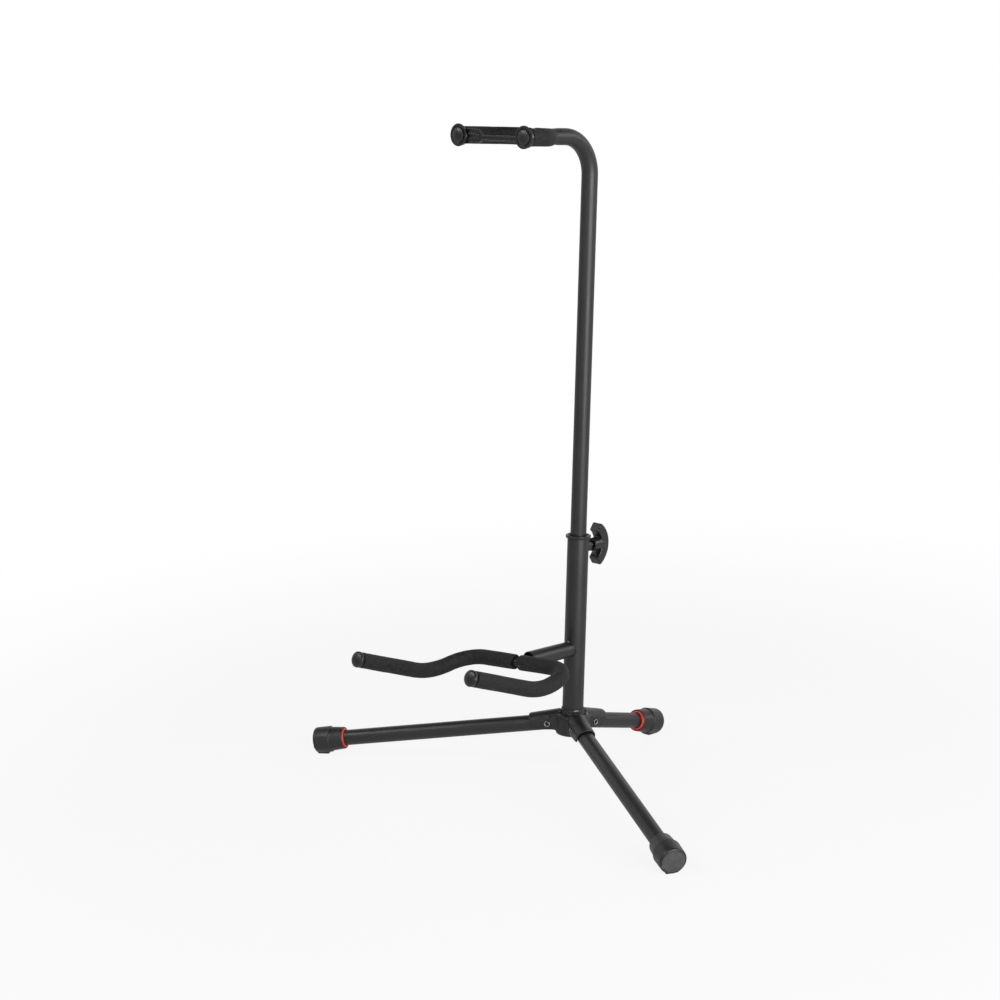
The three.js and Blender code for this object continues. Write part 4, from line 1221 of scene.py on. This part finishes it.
def foamSleeve(rod, end, cradle, seed):
    # an outline that runs out along the sleeve and back through its bore, then a slow swell
    start, bore, radius = cradle["foamGap"], cradle["rod"] + foam["bore"], cradle["foam"]
    edge, dish, slant, middle = foam["edge"], foam["endDish"], foam["slant"], (bore + radius) / 2
    stops = rod.stops(start + edge * 2, end - edge * 2, foam["spacing"])
    opening = softened([(start + dish, bore, 0), (start, middle, foam["mouthEdge"]),
                        (start + slant, radius, edge), (stops[0], radius, 0)])
    closing = softened([(stops[-1], radius, 0), (end - slant, radius, edge),
                        (end, middle, foam["mouthEdge"]), (end - dish, bore, 0)])
    back = reversed(rod.stops(start + foam["boreInset"], end - foam["boreInset"]))
    outline = [*opening, *((stop, radius) for stop in stops[1:-1]), *closing,
               *((stop, bore) for stop in back)]
    bm = ringsAlong(outline, rod, foam["sides"], True)
    shift = Vector((*(seed * step for step in foam["shift"]), 0))
    bm.normal_update()
    line = [rod.at(stop).translation for stop in rod.stops(0, rod.length, foam["axisSpacing"])]
    for vert in bm.verts:
        axis = min(line, key=lambda point: (point - vert.co).length_squared)
        if (vert.co - axis).length < middle:
            continue
        swell = foam["swell"] * noise.noise((vert.co + shift) / foam["swellSize"])
        dent = foam["dent"] * noise.noise((vert.co - shift) / foam["dentSize"])
        vert.co += vert.normal * (swell + dent)
    return meshOf(bm)


def makeYokeFoam(name, side, seed):
    rod = Rod(yokeCorners(side))
    body = foamSleeve(rod, rod.length - yoke["capLength"] - yoke["capGroove"], yoke, seed)
    piece = addPiece("yokeFoam_" + name, body, yokePlace, "yoke", ["yoke_foam_" + name],
                     "closedFoam", foam["sharpDegrees"])


def onTip(rod, outline):
    # the outline runs inwards from the tip of a rod
    return meshOf(spun(outline), rod.at(rod.length) @ turn(180, "X"))


def makeYokeCap(name, side):
    bore, rim, dome = yoke["rod"] + seatGap, yoke["capRadius"], yoke["capDome"]
    end, floor = yoke["capLength"], yoke["capLength"] - yoke["capGrip"]
    tail = softened([(dome * domeMeet, rim, 0), (end, rim, 1.4), (end, bore, 0.2),
                     (floor, bore, 0), (floor, 0, 0)])
    body = onTip(Rod(yokeCorners(side)), crowned(dome, rim, yoke["capSteps"]) + tail)
    addPiece("yokeCap_" + name, body, yokePlace, "yoke", ["yoke_cap_" + name], "softPlastic")


makeSocket()
makeWeld()
makeYokeBush()
makeYokeRod()
for seed, (sideName, side) in enumerate(halves.items(), 1):
    makeYokeFoam(sideName, side, seed)
    makeYokeCap(sideName, side)
print("body cradle ready")

# Neck cradle: bent rod, foam sleeves, buttons and the strap between them

neck = {
    "barForward": 97.0, "half": 48.0, "splay": 1.5, "cornerBend": 44.0, "face": 167.3,
    "rod": 4.0, "plugStart": 72.5, "plugEnd": 86.5, "plug": 6.4, "plugEdge": 0.5, "foam": 9.7,
    "foamGap": 4.6,
}
button = {"radius": 12.5, "flange": 4.2, "dome": 8.5, "domeSteps": 14, "rise": 2.3,
          "groove": 1.5, "grooveRim": 0.4, "brim": 1.0, "post": 6.5, "postLength": 5.4}
strap = {
    "thickness": 2.6, "band": 6.8, "drop": 1.6, "tab": 15.8, "tabStart": 8.0, "tabLength": 25.5,
    "shoulder": 6.5, "eye": 10.5, "eyeSteps": 60, "eyeSides": 72, "hole": 15.4, "holeLip": 1.0,
    "holeCut": (-5.0, 10.0), "fillet": 7.0, "filletSteps": 10, "rim": 1.6, "rimHeight": 1.0,
    "ridge": 1.4, "ridgeHeight": 1.1, "ridgeStart": 3.5, "ridgeEnd": 1.5, "ridgeApart": 3.0,
    "ridgeMeet": 1.3, "sunk": 1.0, "frontFacing": 0.9, "grid": 0.3, "rounds": 3,
}


def forkCorners(side):
    return bent([(0, -neck["barForward"], 0), (side * neck["half"], -neck["barForward"], 0),
                 (side * (neck["half"] + neck["splay"]), -neck["face"], 0)],
                [neck["cornerBend"]])


def makeFork():
    rod = doubled(forkCorners(1))
    stop, start = button["flange"], neck["plugStart"]
    body = joined(roundRod(rod, stop, rod.length - stop, neck["rod"]),
                  straightRod(start, neck["barForward"], neck["rod"]),
                  straightRod(start, neck["plugEnd"], neck["plug"], neck["plugEdge"]))
    addPiece("neckRod", body, neckPlace, "upper", ["neck_fork"], "paintedSteel")


def makeNeckFoam(name, side, seed):
    rod = Rod(forkCorners(side))
    end = rod.length - button["flange"] - button["postLength"] - seatGap
    piece = addPiece("neckFoam_" + name, foamSleeve(rod, end, neck, seed), neckPlace, "upper",
                     ["neck_foam_" + name], "closedFoam", foam["sharpDegrees"])


def makeButton(name, side):
    rise, dome, rim, groove = (button[key] for key in ("rise", "dome", "radius", "groove"))
    flange, post, bore = button["flange"], button["post"], neck["rod"] + seatGap
    back = flange + button["postLength"]
    rest = softened([
        (rise * domeMeet, dome, 0), (rise + groove, dome, 0.3),
        (rise + groove, dome + groove, 0.3), (rise, rim - rise - button["grooveRim"], 0.35),
        (rise, rim, 1.2), (flange - button["brim"], rim, 0.6), (flange, rim - groove, 0.4),
        (flange, post, 0.5), (back, post, 0.5), (back, bore, 0.2),
        (flange - seatGap, bore, 0), (flange - seatGap, 0, 0),
    ])
    body = onTip(Rod(forkCorners(side)), crowned(rise, dome, button["domeSteps"]) + rest)
    addPiece("neckButton_" + name, body, neckPlace, "upper", ["neck_button_" + name],
             "softPlastic")


def strapOutline(half, tabEnd):
    # round the far eye, along the tab and the band, round the near eye and back
    eye, fillet, tab = strap["eye"], strap["fillet"], strap["tab"] / 2
    eyeSteps, filletSteps = strap["eyeSteps"], strap["filletSteps"]
    low, high = -strap["band"] / 2 - strap["drop"], strap["band"] / 2 - strap["drop"]
    wideEnd = tabEnd - strap["shoulder"]
    meet = math.degrees(math.asin(tab / eye))
    below, above = low - fillet, high + fillet
    belowIn, aboveIn = (math.sqrt((eye + fillet) ** 2 - up ** 2) for up in (below, above))
    belowTurn = math.degrees(math.atan2(-below, belowIn))
    aboveTurn = math.degrees(math.atan2(above, aboveIn))
    return [
        *arcPoints((-half, 0), eye, meet, 360 - meet, eyeSteps), (wideEnd, -tab), (tabEnd, low),
        *arcPoints((half - belowIn, below), fillet, 90, belowTurn, filletSteps),
        *arcPoints((half, 0), eye, belowTurn - 180, 180 - aboveTurn, eyeSteps)[1:],
        *arcPoints((half - aboveIn, above), fillet, -aboveTurn, -90, filletSteps)[1:],
        (tabEnd, high), (wideEnd, tab),
    ]


def strapRidge(start, end, low, high):
    # a bar between two (across, up) points of the strap's face
    start, end = Vector(start), Vector(end)
    run = end - start
    side = Vector((-run.y, run.x)).normalized() * strap["ridge"] / 2
    corners = [start - side, end - side, end + side, start + side]
    return meshOf(drawn([tuple(corner) for corner in corners], low, high))


def makeStrap():
    half, depth, sunk = neck["half"] + neck["splay"], strap["thickness"], strap["sunk"]
    rimTop, holeRadius = depth + strap["rimHeight"], strap["hole"] / 2
    tabStart = strap["tabStart"] - half
    tabEnd = tabStart + strap["tabLength"]
    bm = drawn(strapOutline(half, tabEnd), 0, rimTop)
    bm.normal_update()
    front = [face for face in bm.faces if face.normal.z > strap["frontFacing"]]
    bmesh.ops.inset_region(bm, faces=front, thickness=strap["rim"], depth=-strap["rimHeight"],
                           use_even_offset=True)
    ridges = [strapRidge(
        (tabStart + strap["ridgeStart"], side * strap["ridgeApart"]),
        (tabEnd - strap["shoulder"] + strap["ridgeEnd"],
         side * strap["ridgeMeet"] - strap["drop"] / 2),
        depth - sunk, depth + strap["ridgeHeight"]) for side in (-1, 1)]
    inner, outer = holeRadius - strap["holeLip"], strap["eye"]
    eyeOutline = [(depth - sunk, inner), (depth - sunk, outer), (rimTop, outer), (rimTop, inner)]
    ends = [move(place, 0, 0) for place in (-half, half)]
    eyes = [meshOf(spun(eyeOutline, strap["eyeSides"], True), place) for place in ends]
    holes = [plainBore(*strap["holeCut"], strap["hole"], place) for place in ends]
    body = cut(joined(meshOf(bm), *ridges, *eyes), *holes)
    body = moulded(body, strap["grid"], strap["rounds"])
    forward = neck["face"] - button["flange"] - button["postLength"] / 2
    sag = seatGap - (holeRadius - button["post"])
    body.transform(move(0, -forward + depth / 2, sag) @ forwards)
    addPiece("neckStrap", body, neckPlace, "upper", ["neck_strap"], "strapRubber",
             making["smoothDegrees"])


makeFork()
for seed, (sideName, side) in enumerate(halves.items(), 3):
    makeNeckFoam(sideName, side, seed)
    makeButton(sideName, side)
makeStrap()
print("neck cradle ready")

# Plain parts of the model that stay as they are

for nodeName in ("lower_plug", "slide_bush", "clamp_pad"):
    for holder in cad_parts[nodeName].material_slots:
        holder.material = materials["plainNylon"]

print("all pieces ready")
